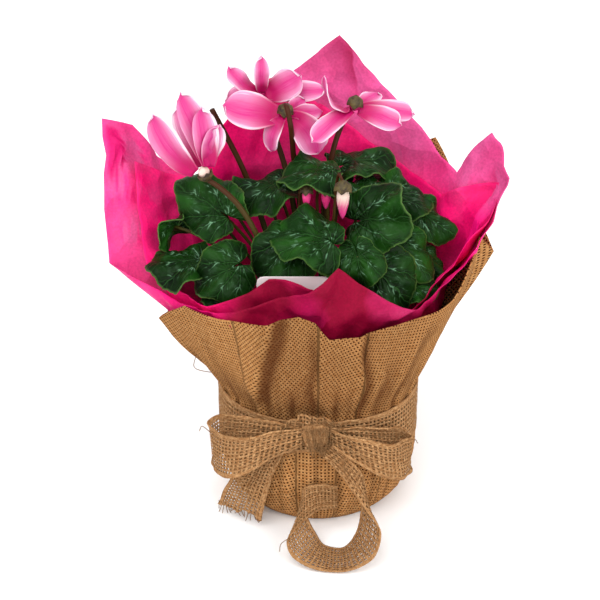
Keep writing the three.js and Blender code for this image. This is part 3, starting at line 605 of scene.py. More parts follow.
# On the right the tissue is drawn in under the burlap's edge, and the burlap bulges a little
tuckSet = {"middle": 340, "reach": 32, "tissueIn": 8, "burlapOut": 5}


def tuck(degrees, height):
    return hill(degrees, tuckSet["middle"], tuckSet["reach"]) * fade(height, 118, 150)


def wayRound(degrees):  # mm round a sheet, as measured at the creases' radius
    return math.radians(degrees % 360) * creaseRadius


def facets(lines, around, height, warp):
    total = 0
    for lean, length, depth in lines:
        direction = math.radians(lean)
        across = (around + warp) * math.cos(direction) + (height - warp) * math.sin(direction)
        total += depth * zigzag(across / length)
    return total


def creases(degrees, height):
    around = wayRound(degrees + 270)
    warp = 9 * noise.noise(Vector((around / 60, height / 60, 3.1)))
    total = facets(creaseSet, around, height, warp)
    spot = Vector((around, height))
    for start, end, depth, width in foldLines:
        first = Vector((wayRound(start[0] + 270), start[1]))
        turn = math.radians((end[0] - start[0] + 180) % 360 - 180)
        span = Vector((turn * creaseRadius, end[1] - start[1]))
        share = min(1, max(0, (spot - first).dot(span) / span.length_squared))
        total += depth * max(0, 1 - (spot - first - span * share).length / width)
    loose = hill(degrees, 166, 30) * fade(height, 150, 180)
    total += loose * facets(crumpleSet, around, height, -warp)
    seam = 0.4 + 0.6 * abs(math.sin(math.radians(degrees - 90) / 2)) ** 0.5
    calm = 1 - 0.6 * hill(degrees, 45, 26)
    tucked = tuckSet["tissueIn"] * tuck(degrees, height) * (1 - fade(height, 190, 210))
    total *= 1 - (0.85 if total > 0 else 0.5) * hill(degrees, 176, 16)
    return total * fade(height, 100, 150) * seam * calm - tucked


pleatFoot = 90
# Degrees of the ridge at its foot, lean a mm, depth, width before and after it, and heights
pleatSet = [
    (233, 0.22, 7, 18, 4, 88, 190), (291, -0.05, 5.5, 10, 3, 88, 172), (270, 0, 3.6, 2.6, 12, 90, 175),
    (252, 0.08, 2.4, 6, 5, 88, 130), (300, 0, 3, 8, 5, 92, 140), (217, 0.05, 2.4, 7, 5, 88, 136),
    (314, 0.06, 4, 12, 5, 90, 160), (206, 0, 2.4, 9, 6, 88, 150), (281, 0, 2, 4, 3, 90, 128),
    (338, 0, 3, 10, 8, 92, 150), (190, 0, 3, 8, 8, 88, 140),
]


# Band: height of its middle, how far it rises to the knot, and its width at the back and at the knot
bandSet = {"height": 63, "rise": 12, "wide": 40, "narrow": 22}


def bandMiddle(degrees):
    return bandSet["height"] + bandSet["rise"] * max(0, -math.sin(math.radians(degrees))) ** 4


def besidePleat(degrees, height, foot, lean):  # no fold runs quite straight
    sway = 3.4 * noise.noise(Vector((foot, height / 32, 6))) * fade(height, pleatFoot, 110)
    return degrees - foot - lean * (height - pleatFoot) - sway


def pleats(degrees, height):
    total = 0
    for foot, lean, depth, before, after, low, high in pleatSet:
        off = besidePleat(degrees, height, foot, lean)
        off /= before if off < 0 else after
        if abs(off) < 1:
            step = (1 - abs(off)) ** (1.4 if (off < 0) == (before > after) else 1.0)
            total += depth * step * fade(height, low, low + 26) * (1 - fade(height, high - 30, high))
    angle = math.radians(degrees)
    above = fade(height - bandMiddle(degrees), 10, 22) * (1 - fade(height, 96, 140))
    gather = 0.8 * math.cos(29 * angle) + 0.5 * math.cos(47 * angle + 1) + 1
    under = fade(bandMiddle(degrees) - height, 8, 26) * fade(height, 3, 20)
    fans = 0.5 * math.cos(31 * angle + 2) + 0.35 * math.cos(53 * angle) + 0.7
    bulge = tuckSet["burlapOut"] * tuck(degrees, height) * (1 - fade(height, 160, 195))
    return total + 0.8 * gather * above + fans * under + bulge


def foldShade(degrees, height):  # how deep in a fold the cloth lies: painted shade in the folds and on the hump, and painted light where below zero
    total = 0.3 * hill(degrees, 262, 26) * fade(height, 84, 100) * (1 - 0.5 * fade(height, 130, 165))
    total += 0.15 * hill(degrees, 300, 26) - 0.2 * hill(degrees, 225, 24) * fade(height, 90, 120)
    for foot, lean, depth, before, after, low, high in pleatSet:
        off = besidePleat(degrees, height, foot, lean)
        off /= min(before, after) * (1 if before > after else -1)
        if 0 < off < 2.6:
            shown = fade(height, low, low + 12) * (1 - fade(height, high - 30, high))
            total += depth / 7.5 * shown * fade(off, 0.1, 0.7) * (1 - fade(off, 1.1, 2.6))
    angle = math.radians(degrees)
    folds = max(0, -math.cos(29 * angle)) * 0.5 + max(0, -math.cos(47 * angle + 1)) * 0.3
    above = fade(height - bandMiddle(degrees), 8, 12) * (1 - fade(height, 90, 122))
    under = fade(bandMiddle(degrees) - height, 8, 14)
    fans = max(0, -math.cos(31 * angle + 2)) * 0.4 + max(0, -math.cos(53 * angle)) * 0.25 - 0.36
    return min(1, total + folds * above + fans * under)


sheets = {
    "burlap": {"lower": [(25, 0.5), (45, 0.5), (52, 0.5), (54.4, 3), (57, 6.2), (59, 9), (60.6, 15),
                         (62.2, 21), (63.5, 26.5), (64.3, 31), (64.3, 38), (64.3, 45), (64.3, 52),
                         (64.3, 59), (64.3, 66), (64.3, 72), (64.3, 78), (64.3, 84)],
               "lift": 8, "rim": burlapRim, "relief": pleats, "thickness": 0.9},
    "tissueOuter": {"lower": [(25, 1.7), (49.5, 1.7), (57, 10), (62.9, 33), (62.9, 60), (62.9, 84),
                              (62.9, 98)],
                    "lift": 0, "rim": outerTissueRim, "relief": creases, "single": 1,
                    "thickness": 0.3},
    "tissueInner": {"lower": [(25, 2.75), (48.5, 2.75), (55.8, 11), (61.6, 34), (61.6, 60), (61.6, 84),
                              (61.6, 98)],
                    "lift": 0, "rim": innerTissueRim, "relief": creases, "single": 0.2,
                    "thickness": 0.3},
}


panelSet = {  # the sheet folds over itself between panels: first degree and turn of the threads in each
    "above": [(-270, -24), (-128, 34), (-90, -28), (-69, 22), (20, 40)],
    "below": [(-270, -20), (-170, -34), (-128, -20), (-103, 0), (-80, 19), (-52, 33), (0, 20)],
    "knot": 80,
}


def panelTurn(panels, degrees):
    passed = [turn for first, turn in panelSet[panels] if degrees - 360 * (degrees > 90) >= first]
    return math.radians(passed[-1])


def burlapThreads(turn, along):
    # threads run straight on each panel: the lower ones lean out from the knot, the upper ones open as
    # a cone unrolled flat
    spot = wrapPlace(sheets["burlap"])[0](turn, along)
    degrees = turn * 360 + 90
    sideways = (turn - 0.5) * 2 * math.pi
    tilt = panelTurn("below", degrees)
    flat = Vector((sideways * 65, spot.z + min(0, spot.xy.length - 52) - panelSet["knot"]))
    lower = Vector((flat.x * math.cos(tilt) - flat.y * math.sin(tilt),
                    flat.x * math.sin(tilt) + flat.y * math.cos(tilt)))
    spread = 0.36
    slant = wrapSet["waist"] / spread + (spot.z - 60) * 1.06
    lean = sideways * spread - panelTurn("above", degrees)
    upper = Vector((slant * math.sin(lean), slant * math.cos(lean)))
    above = fade(spot.z - bandMiddle(degrees), -7, 5)
    return (lower * (1 - above) + upper * above + Vector((500, 500))) * mm


# painted shade and painted light of the folds, carried in the burlap's second UV map
def burlapFoldShade(turn, along):
    place = wrapPlace(sheets["burlap"])[0]
    return foldShade((turn * 360 + 90) % 360, place(turn, along).z), 0


# Creases shown by painted shade and painted light: from and to as degrees and height, and how dark the painted
# shade on the side after each is
creasePaintedShade = [
    ((167, 243), (169.5, 232), 0.5), ((169.5, 232), (173.5, 219), 0.6),
    ((173.5, 219), (172.5, 208), -0.5), ((172.5, 208), (170, 196), 0.55),
    ((173, 240), (172, 226), -0.5), ((171, 250), (168, 243), 0.4), ((178, 182), (173, 186), -0.5),
    ((177, 172), (172, 192), 0.5), ((163, 236), (166, 214), -0.45), ((77, 283), (68, 222), 0.35),
    ((84, 262), (96, 214), -0.3), ((62, 250), (48, 196), -0.3), ((12, 222), (9, 190), 0.5),
    ((20, 214), (13, 178), -0.4), ((4, 208), (0, 178), 0.5), ((30, 200), (16, 160), 0.3),
    ((140, 205), (128, 172), -0.35), ((150, 196), (143, 160), 0.4), ((286, 186), (268, 152), 0.3),
]


def creaseShade(degrees, height):
    total = 0
    for start, end, strength in creasePaintedShade:
        run = Vector(((end[0] - start[0]) * 1.8, end[1] - start[1]))
        off = Vector((((degrees - start[0] + 180) % 360 - 180) * 1.8, height - start[1]))
        along = off.dot(run) / run.length_squared
        aside = (run.x * off.y - run.y * off.x) / run.length
        if 0 < along < 1 and abs(aside) < 9:
            ends = min(1, 5 * along, 5 * (1 - along))
            total += strength * ends * (1 - abs(aside) / 9) * (1 if aside > 0 else -0.6)
    return total


def tissueLightAndShade(sheet):
    place = wrapPlace(sheet)[0]
    single = sheet["single"]

    # painted light: pale where a single layer is lit; painted shade: deep at the front, low down under the
    # leaves and beside the creases
    def tones(turn, along):
        degrees = (turn * 360 + 90) % 360
        height = place(turn, along).z
        pale = single * (0.95 * hill(degrees, 75, 62) * fade(height, 150, 215)
                         + 0.6 * hill(degrees, 170, 24)
                         + 0.9 * hill(degrees, 10, 26) * fade(height, 180, 215)
                         + 0.35 * hill(degrees, 300, 26))
        deep = 0.9 * hill(degrees, 255, 46) + 0.75 * hill(degrees, 310, 46) - 0.3 * hill(degrees, 38, 34)
        deep += 0.5 * single * hill(degrees, 75, 50) * fade(height, 238, 275)
        deep += 0.3 * (1 - single) * hill(degrees, 8, 18)
        shade = creaseShade(degrees, height)
        deep += 0.9 * (1 - fade(height, 110, 170)) - 0.35 * hill(degrees, 170, 30)
        deep -= 0.9 * hill(degrees, 105, 60) * (1 - fade(height, 225, 262))
        shade *= (1 + 0.7 * hill(degrees, 172, 20)) * (0.25 + 0.75 * single)
        return max(0.01, pale - 0.6 * shade), max(0, deep + 0.9 * shade)

    return tones


def makeWrap(name, sheet, material, replaced, slotName, uvPlace, extraMap=None):
    place, rows = wrapPlace(sheet)
    piece = laySheet(name, wrapSet["columns"], rows, place, uvPlace, extraMap)
    thicken(piece, sheet["thickness"])
    paint(piece, material)
    standFor(piece, slotName, replaced)


makeWrap("burlapWrap", sheets["burlap"], burlap, "burlap_wrap", "burlap",
         burlapThreads, burlapFoldShade)
makeWrap("tissueOuter", sheets["tissueOuter"], tissueOuterLit, "tissue_outer", "tissue_paper",
         tissueLightAndShade(sheets["tissueOuter"]))
makeWrap("tissueInner", sheets["tissueInner"], tissueInnerShaded, "tissue_inner", "tissue_paper",
         tissueLightAndShade(sheets["tissueInner"]))
print("wrap laid")

# Ribbon. Its pieces follow routes of stations: middle point, direction across it, and width
leftLoop = [
    ((-11, -73, 79.5), (0.1, 0, 1), 12), ((-31, -77.5, 75), (0.15, 0, 1), 24),
    ((-51, -75, 66), (0.1, 0, 1), 31), ((-64.5, -63, 60), (0.05, 0, 1), 33),
    ((-69, -52, 60), (0, 0, 1), 32), ((-63, -48, 64), (0.05, 0, 1), 30),
    ((-49, -57, 71), (0.1, 0, 1), 27), ((-31, -68, 78), (0.1, 0, 1), 20),
    ((-11, -71, 81), (0.1, 0, 1), 10),
]
rightLoop = [
    ((8, -73, 79.5), (-0.1, 0, 1), 12), ((26, -79, 72), (-0.15, 0, 1), 22),
    ((43, -76, 63), (-0.12, 0, 1), 28), ((55, -64, 56), (-0.05, 0, 1), 29),
    ((59, -54, 54), (0, 0, 1), 28), ((54, -50, 58), (-0.05, 0, 1), 27),
    ((42, -58, 65), (-0.1, 0, 1), 25), ((26, -68.5, 75), (-0.1, 0, 1), 19),
    ((8, -71, 81), (-0.1, 0, 1), 10),
]
rightTail = [
    ((2.2, -73, 72), (0.9, 0.1, 0.3), 9), ((18, -81, 60), (0.7, 0.3, 0.65), 11),
    ((28, -87, 46), (0.1, 0.8, 0.5), 15), ((32.5, -92, 28), (-0.5, 0.86, 0.1), 24),
    ((28, -96, 11), (-0.4, 0.91, -0.05), 27), ((15.5, -96.5, 0.9), (0, 1, -0.03), 26),
    ((3, -95.5, 1.8), (0.15, 1, -0.03), 26), ((-9, -91.5, 9), (0.55, 0.83, 0), 28),
    ((-14.5, -85, 20), (0.45, 0.85, 0.25), 27), ((-11, -77, 28), (0.1, 0.65, 0.75), 23),
    ((-1, -71, 31), (-0.05, 0.2, 0.97), 19), ((12, -69, 30), (0, 0.05, 1), 17),
]


def ribbonPlace(stations, ruffle, seed):
    middles = [Vector(station[0]) for station in stations]
    acrosses = [Vector(station[1]) for station in stations]
    last = len(stations) - 1

    def place(along, over):
        before = min(int(along * last), last - 1)
        width = mix(stations[before][2], stations[before + 1][2], along * last - before)
        side = splinePoint(acrosses, along).normalized()
        ahead = splinePoint(middles, min(along + 0.01, 1)) - splinePoint(middles, max(along - 0.01, 0))
        outward = ahead.cross(side).normalized()
        packed = max(0, 1 - width / 32)  # gathers deepen where the ribbon is squeezed narrow
        gather = math.cos(2 * math.pi * (5 * over + seed))
        gather += 0.5 * math.cos(2 * math.pi * (9 * over + 2 * seed))
        flutter = noise.noise(Vector((along * 9, over * 2.4, seed * 7))) * 2
        edge = abs(2 * over - 1) ** 3
        shift = ruffle * (packed * gather + (0.25 + 0.75 * edge) * flutter)
        return splinePoint(middles, along) + side * (over - 0.5) * width + outward * shift

    return place


def layRibbon(name, place, length, steps, replaced):
    # one stretch of ribbon, open net in the middle, with its own thread coordinates
    piece = laySheet(name, steps, 20, place,
                     lambda along, over: (along * length * mm, over * ribbonSet["width"] * mm))
    thicken(piece, ribbonSet["thickness"])
    paint(piece, ribbon)
    standFor(piece, "jute_ribbon", replaced)


def onWaist(along, height, radius):
    angle = along / wrapSet["waist"]
    return Vector((radius * math.sin(angle), -radius * math.cos(angle), height))


def bandPlace(turn, over):
    angle = (turn - 0.5) * 2 * math.pi
    front = max(0, math.cos(angle)) ** 4
    width = mix(bandSet["wide"], bandSet["narrow"], front)
    gather = math.cos(2 * math.pi * 4 * over + 3 * math.sin(5 * angle)) * (0.25 + 0.6 * front)
    flutter = 0.6 * noise.noise(Vector((angle * 4, over * 3, 2)))
    radius = wrapSet["waist"] + 0.1 + 0.5 * abs(gather + flutter)
    edge = 0.8 * noise.noise(Vector((angle * 9, over, 8))) * abs(2 * over - 1)
    height = bandSet["height"] + bandSet["rise"] * front + (over - 0.5) * width + edge
    return onWaist(angle * wrapSet["waist"], height, radius)


def leftTailPlace(along, over):
    width = mix(14, 31, along ** 0.4)
    lean = (over - 0.5) * width
    packed = (1 - along) ** 2
    ripple = packed * math.cos(2 * math.pi * 4 * over) + 0.9 * noise.noise(Vector((along * 6, over * 3, 5)))
    ragged = 9 * over * (1 - over) ** 0.5 + 4 * noise.noise(Vector((over * 7, 1, 3)))
    low = mix(69.5, 5 + ragged, along)
    stand = 1.2 * math.sin(math.pi * along) + along * (11 - 6 * over)
    radius = wrapSet["waist"] + 1.75 + stand + 1.2 * ripple
    return onWaist(-11 - 40 * along ** 0.36 + lean, low + lean * mix(0.5, 0.05, along), radius)


layRibbon("ribbonBand", bandPlace, 413, 240, "ribbon_band")
layRibbon("bowLoopLeft", ribbonPlace(leftLoop, 1.9, 0.2), 152, 120, "bow_loop_left")
layRibbon("bowLoopRight", ribbonPlace(rightLoop, 1.9, 0.7), 134, 120, "bow_loop_right")
layRibbon("bowTailLeft", leftTailPlace, 76, 60, "bow_tail_left")
layRibbon("bowTailRight", ribbonPlace(rightTail, 1.0, 0.4), 198, 160, "bow_tail_right")

# Knot: the ribbon drawn over itself, gathered into upright folds, with its own edge standing up above
knotSet = {"at": (-2, -72, 79.5), "half": (11, 4.7, 9.2), "folds": 23, "foldDepth": 0.13}


def knotPlace(turn, along):
    angle = turn * 2 * math.pi
    tilt = (along - 0.5) * math.pi
    wander = 0.8 * math.sin(2 * tilt + 2 * angle) + 0.4 * math.sin(5 * tilt)
    crease = abs(math.sin(knotSet["folds"] * angle / 2 + wander))
    dent = 0.16 * noise.noise(Vector((math.cos(angle) * 1.6, math.sin(angle) * 1.6, tilt * 1.3)))
    size = 1 + dent - knotSet["foldDepth"] * (1 - crease) ** 2 * math.cos(tilt) * 2
    taper = 0.8 + 0.24 * math.sin(tilt)
    square = Vector((math.cos(angle) * math.cos(tilt) ** 0.7 * taper,
                     math.sin(angle) * math.cos(tilt) ** 0.7, math.sin(tilt)))
    spot = Vector([square[i] * size * knotSet["half"][i] for i in range(3)])
    return spot + Vector(knotSet["at"])


def rufflePlace(across, along):
    wave = math.cos(2 * math.pi * 4.5 * across) + 0.6 * math.cos(2 * math.pi * 8 * across + 1)
    top = 11 + 2.5 * noise.noise(Vector((across * 4, 0, 4))) - 7 * (2 * across - 1) ** 4
    out = 70.5 + 2.5 * along + 1.2 * wave * (0.3 + 0.7 * along)
    return Vector((mix(-22, 11, across) + 0.7 * wave * along, -out, 84 + along * top))


bowKnot = laySheet("bowKnot", 120, 48, knotPlace, lambda turn, along: (turn * 0.09, along * 0.03),
                   closed=True)
bpy.ops.object.shade_smooth()
paint(bowKnot, ribbonDense)
standFor(bowKnot, "jute_ribbon", "bow_knot")
bowRuffle = laySheet("bowRuffle", 90, 12, rufflePlace,
                     lambda across, along: (across * 0.06, 0.004 + along * 0.012))
thicken(bowRuffle, ribbonSet["thickness"])
paint(bowRuffle, ribbon)
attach(bowRuffle, "root")

# Loose yarns: drawn from the knot, hanging from the frayed end, and one stray at the left
fibreRadius = 0.26
fibres = [
    [(3, -78, 92), (14, -81, 90), (21, -80, 76)], [(-5, -77, 93), (8, -80, 95), (17, -79, 88)],
    [(-10, -77, 88), (-20, -80, 92), (-27, -79, 84)], [(-66, -12, 88), (-81, -12, 92.5), (-80, -12, 101)],
    [(8, -78, 74), (15, -83, 70), (16, -84, 60)], [(-12, -77, 75), (-22, -82, 70), (-24, -80, 60)],
    [(-69, -62, 76), (-74, -60, 79), (-76, -58, 74)], [(52, -66, 70), (60, -64, 72), (63, -60, 66)],
    [(27, -100, 12), (33, -103, 9), (36, -104, 12)], [(-19, -96, 18), (-24, -98, 15), (-25, -98, 9)],
]
for k in range(18):
    x = -9 + 1.05 * k
    fibres.append([(x * 0.9 - 1, -76, 88 + math.sin(9 * k)), (x * 0.8 + 1.2 * math.sin(5 * k), -77.4, 80),
                   (x * 0.55 + math.sin(3 * k), -76.5, 69 - 3.5 * math.sin(7 * k))])
for k in range(12):
    edge = rufflePlace((k + 0.5) / 12, 1)
    fibres.append([tuple(edge - Vector((0, 0, 3))), tuple(edge),
                   (edge.x + 1.8 * math.sin(5 * k), edge.y - 1, edge.z + 2 + 1.6 * math.sin(3 * k))])
for k in range(16):
    end = leftTailPlace(1, (k + 0.5) / 16)
    drop = 3 + 2.4 * math.sin(7 * k)
    fibres.append([tuple(end + Vector((0, 0, 3))), tuple(end),
                   (end.x + 1.6 * math.sin(5 * k), end.y - 1, max(0.6, end.z - drop))])
strands = []
for k, fibre in enumerate(fibres):
    points = [Vector(point) for point in fibre]
    strands.append(tube(f"fibre{k}", lambda along: splinePoint(points, along), lambda along: fibreRadius, 5, 9))
    paint(strands[-1], ribbonDense)
strayFibres = joinPieces("strayFibres", strands)
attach(strayFibres, "root")
print("ribbon tied")

# Leaves. Each blade has its middle, the way its tip points, the way its upper side faces and its size
leafShape = {"cup": -0.3, "fold": 0.1, "wave": 0.2, "thickness": 0.6, "around": 108, "rings": 12}
leaves = [
    {"at": (-69, -6, 209), "tip": (-0.8, 0.2, 0.5), "face": (-0.2, -0.75, 0.65), "size": 43},
    {"at": (-33, 8, 213), "tip": (-0.7, -0.5, -0.1), "face": (-0.1, -0.2, 0.97), "size": 40},
    {"at": (-6, 0, 230), "tip": (-1, 0, 0.05), "face": (0, -0.05, 1), "size": 41},
    {"at": (27, 32, 222), "tip": (0.85, 0.5, 0), "face": (0.1, 0, 1), "size": 45},
    {"at": (28, 7, 216), "tip": (0.3, 0.9, 0.1), "face": (0, -0.1, 1), "size": 27},
    {"at": (-7, -35, 203), "tip": (-0.85, 0.1, 0.5), "face": (0.05, -0.38, 0.92), "size": 45, "wave": 0.24,
     "foot": (20, -30)},
    {"at": (-23, -33.5, 190), "tip": (-0.6, -0.5, -0.4), "face": (-0.05, -0.65, 0.75), "size": 40,
     "wave": 0.15, "foot": (-22, -34)},
    {"at": (34, -18, 205), "tip": (0.95, -0.1, 0.1), "face": (-0.5, -0.75, 0.5), "size": 45, "fold": 0.3},
    {"at": (55, -19, 182), "tip": (0.7, -0.5, -0.4), "face": (0.2, -0.6, 0.75), "size": 38},
    {"at": (41, -41, 175), "tip": (0.7, -0.3, -0.5), "face": (0.05, -0.75, 0.65), "size": 44, "fold": -0.2},
    {"at": (24, -44, 188), "tip": (0.2, -0.5, -0.75), "face": (-0.1, -0.85, 0.5), "size": 30},
    {"at": (70, 8, 192), "tip": (0.85, -0.3, -0.4), "face": (0.3, -0.5, 0.8), "size": 33, "wave": 0.26},
    {"at": (54, 12, 207), "tip": (0.8, 0.3, -0.2), "face": (0.2, -0.45, 0.85), "size": 36},
    {"at": (63, -30, 162), "tip": (0.6, -0.2, -0.3), "face": (0, -0.4, 0.9), "size": 22},
    {"at": (68, -8, 170), "tip": (0.6, -0.5, -0.5), "face": (0.4, -0.6, 0.7), "size": 25},
    {"at": (-87, -17.5, 174.5), "tip": (-0.95, -0.1, 0.05), "face": (-0.05, -0.2, 0.95), "size": 40,
     "wave": 0.2},
    {"at": (-93, 3, 186), "tip": (-0.5, -0.2, -0.85), "face": (-0.7, 0.6, 0.4), "size": 28, "fold": 0.3},
    {"at": (-60, -36.5, 177), "tip": (-0.8, -0.2, -0.35), "face": (-0.1, -0.8, 0.6), "size": 38,
     "foot": (-55, -65)},
    {"at": (-63, -33, 158), "tip": (-0.7, -0.2, 0.1), "face": (0, -0.3, 0.95), "size": 22,
     "foot": (-66, -44)},
    {"at": (-60, 20, 206), "tip": (-0.5, 0.8, 0), "face": (-0.1, 0, 1), "size": 22,
     "foot": (-50, 23)},
    {"at": (-36, 44, 197), "tip": (-0.5, 0.85, 0), "face": (-0.1, 0.1, 1), "size": 33,
     "foot": (-60, 52)},
    {"at": (3, 46, 204), "tip": (0, 1, 0), "face": (0, 0.1, 1), "size": 38},
    {"at": (42, 46, 203), "tip": (0.5, 0.85, 0), "face": (0.1, 0.1, 1), "size": 36},
    {"at": (-70, 25, 189), "tip": (-0.9, 0.4, 0), "face": (-0.1, 0, 1), "size": 30,
     "foot": (-85, 52)},
]
crownSet = {"tuberHeight": 87, "tuberHalf": 14, "tuberRadius": 30, "root": 5, "reach": 23, "canopy": 100}


def leafReach(angle):
    back = min(1, abs(angle) / math.pi)
    outline = 0.49 + 0.16 * (1 - back) ** 2.4 - 0.07 * back ** 2
    return outline * (1 - 0.9 * math.exp(-((1 - back) / 0.045) ** 2))


def crownFoot(x, y):
    distance = math.hypot(x, y)
    reach = crownSet["reach"] * min(1, distance / crownSet["canopy"]) ** 0.75
    rise = math.sqrt(1 - (reach / crownSet["tuberRadius"]) ** 2)
    top = crownSet["tuberHeight"] + crownSet["tuberHalf"] * rise
    return Vector((x / distance * reach, y / distance * reach, top - crownSet["root"]))


def makeLeaf(index, leaf):
    name = f"leaf{index:02d}"
    normal = Vector(leaf["face"]).normalized()
    tipward = Vector(leaf["tip"])
    tipward = (tipward - normal * tipward.dot(normal)).normalized()
    sideways = normal.cross(tipward)
    size = leaf["size"]
    joint = Vector(leaf["at"]) - tipward * 0.11 * size
    shape = {**leafShape, **leaf}
    phase = index * 1.7

    def outline(turn, along):
        angle = (0.5 - turn) * 2 * math.pi
        scallop = 0.022 * math.sin(9 * angle + phase) + 0.012 * math.sin(31 * angle + 2 * phase)
        uneven = 0.06 * math.sin(2 * angle + phase) + 0.07 * math.sin(3 * angle + 1.3 * phase)
        uneven += 0.035 * math.sin(5 * angle + 2.1 * phase)
        reach = leafReach(angle) * along * (1 + uneven + along ** 4 * scallop)
        return reach, angle

    def place(turn, along):
        reach, angle = outline(turn, along)
        edge = along ** 4
        ahead, aside = reach * math.cos(angle), reach * math.sin(angle)
        lift = shape["cup"] * reach ** 2 + shape["fold"] * abs(aside)
        lift += shape["wave"] * reach ** 2 * math.sin(5 * angle)
        lift += 0.36 * reach ** 2 * math.sin(3 * angle + phase) - 0.1 * reach ** 2
        lift += 0.03 * edge * math.sin(8 * angle + phase) - 0.035 * along ** 8
        lift += 0.022 * math.sin(math.pi * along) * (abs(math.cos(6.4 * angle)) - 0.6)
        lift += 0.08 * along * noise.noise(Vector((ahead * 5, aside * 5, phase)))
        return joint + (tipward * ahead + sideways * aside + normal * lift) * size

    def flatPlace(turn, along):
        reach, angle = outline(turn, along)
        return reach * math.cos(angle) + 0.24, reach * math.sin(angle)

    # painted light and shade: each leaf a little lighter or darker, with broad waves of light and shade across
    # the blade
    def tone(turn, along):
        angle = (0.5 - turn) * 2 * math.pi
        light = 0.95 + 0.22 * math.sin(2.3 * index) + 0.3 * along * math.sin(angle + 2 * phase)
        light += 0.3 * along ** 2 * math.sin(3 * angle + phase) + 0.22 * along ** 2 * math.sin(5 * angle)
        return max(0.35, light), along

    blade = laySheet(name, shape["around"], shape["rings"], place, tone, flatPlace)
    thicken(blade, shape["thickness"], innerSlot=1)
    paint(blade, leafSkin, leafUnder)
    foot = crownFoot(*leaf.get("foot", leaf["at"][:2]))
    rise = (joint - foot).length
    lower = foot + Vector((0, 0, 0.45 * rise))
    upper = joint - normal * 0.25 * rise - tipward * 0.12 * rise
    petiole = tube(name + "Petiole", lambda along: bezierPoint(foot, lower, upper, joint, along),
                   lambda along: 1.15 - 0.1 * along, 8, 24)
    paint(petiole, stemSkin)
    whole = joinPieces(name, [blade, petiole])
    standFor(whole, "leaf", f"leaf_{index:02d}")


for index, leaf in enumerate(leaves, 1):
    makeLeaf(index, leaf)
print("leaves made")

# Flowers. The hub is where the petals meet, and the calyx caps it
petalShape = {"thickness": 0.5, "columns": 14, "rows": 22, "hub": 3.6}
flowers = [
    {"hub": (-71, -10, 233), "calyx": (0.45, -0.1, -0.9), "bend": 0.16, "cup": 1.3, "pale": 0.13,
     "mouth": mouthSkin,
     "petals": [((-101, -8, 271), (-0.25, -0.95, 0), 19), ((-84, -7, 285), (0, -1, 0), 19),
                ((-71, -12, 277), (0.2, -0.95, 0.1), 16), ((-60, -12, 266), (0.4, -0.9, 0.1), 14),
                ((-88, 12, 268), (-0.2, 0.9, 0.2), 17)],
     "stem": [(-30, -13, 150), (-38, -21, 193), (-50, -19, 215), (-62, -13, 224.5)]},
    {"hub": (-36, 42, 264), "calyx": (0, 0.8, 0.6),
     "petals": [((-57, 38, 283), (0.5, -0.7, 0.6), 12), ((-36, 37, 291), (0.3, -0.95, 0), 10),
                ((-11, 36, 278), (-0.2, -0.9, 0.5), 20), ((5, 38, 267), (-0.1, -0.5, 0.85), 15),
                ((-60, 44, 257), (0, -0.5, 0.85), 18)],
     "stem": [(-10, 14, 150), (-20, 28, 212), (-30, 42, 240), (-36, 53, 254), (-37, 56, 262),
              (-36.5, 53, 268)]},
    {"hub": (-21, 15, 262), "calyx": (0, -0.35, 0.94),
     "petals": [((-60, 14, 267), (0, -0.7, 0.7), 25), ((-30, 13, 236), (-0.6, -0.75, 0.1), 13),
                ((-1, 13, 234), (0.2, -0.95, 0.1), 20), ((2, 20, 260), (0.1, -0.5, 0.85), 13),
                ((-9, 31, 264), (0, -0.7, 0.7), 11)],
     "stem": [(-7, 8, 150), (-14, 23, 212), (-16, 19, 230), (-17, 8, 249), (-18, 3, 260), (-20, 6, 269)]},
    {"hub": (22, 19, 265), "calyx": (0.1, -0.2, 0.97),
     "petals": [((-5, -4, 250), (-0.3, -0.75, 0.6), 14), ((3, 6, 290), (-0.9, -0.4, 0.1), 14),
                ((51, 9, 256), (0.2, -0.8, 0.6), 15), ((60, 25, 256), (0.2, -0.5, 0.85), 15),
                ((38, 42, 263), (0, -0.3, 0.95), 12)],
     "stem": [(5, 7, 150), (6, 18, 212), (9, 21, 234), (14, 28, 247), (19.5, 31, 257), (22.5, 27, 264)]},
]


def axesAbout(direction):
    side = direction.orthogonal().normalized()
    return side, direction.cross(side)


def turned(name, centre, direction, profile, sides, rows, shape):
    # a closed shape turned about a direction; the profile lists radius and height, pole to pole
    side, other = axesAbout(direction)

    def place(turn, along):
        angle = turn * 2 * math.pi
        spot = along * (len(profile) - 1)
        before = min(int(spot), len(profile) - 2)
        radius = mix(profile[before][0], profile[before + 1][0], spot - before)
        height = mix(profile[before][1], profile[before + 1][1], spot - before)
        radius, height, angle = shape(radius, height, angle, along)
        return centre + (side * math.cos(angle) + other * math.sin(angle)) * radius + direction * height

    piece = laySheet(name, sides, rows, place, closed=True)
    bpy.ops.object.shade_smooth()
    return piece


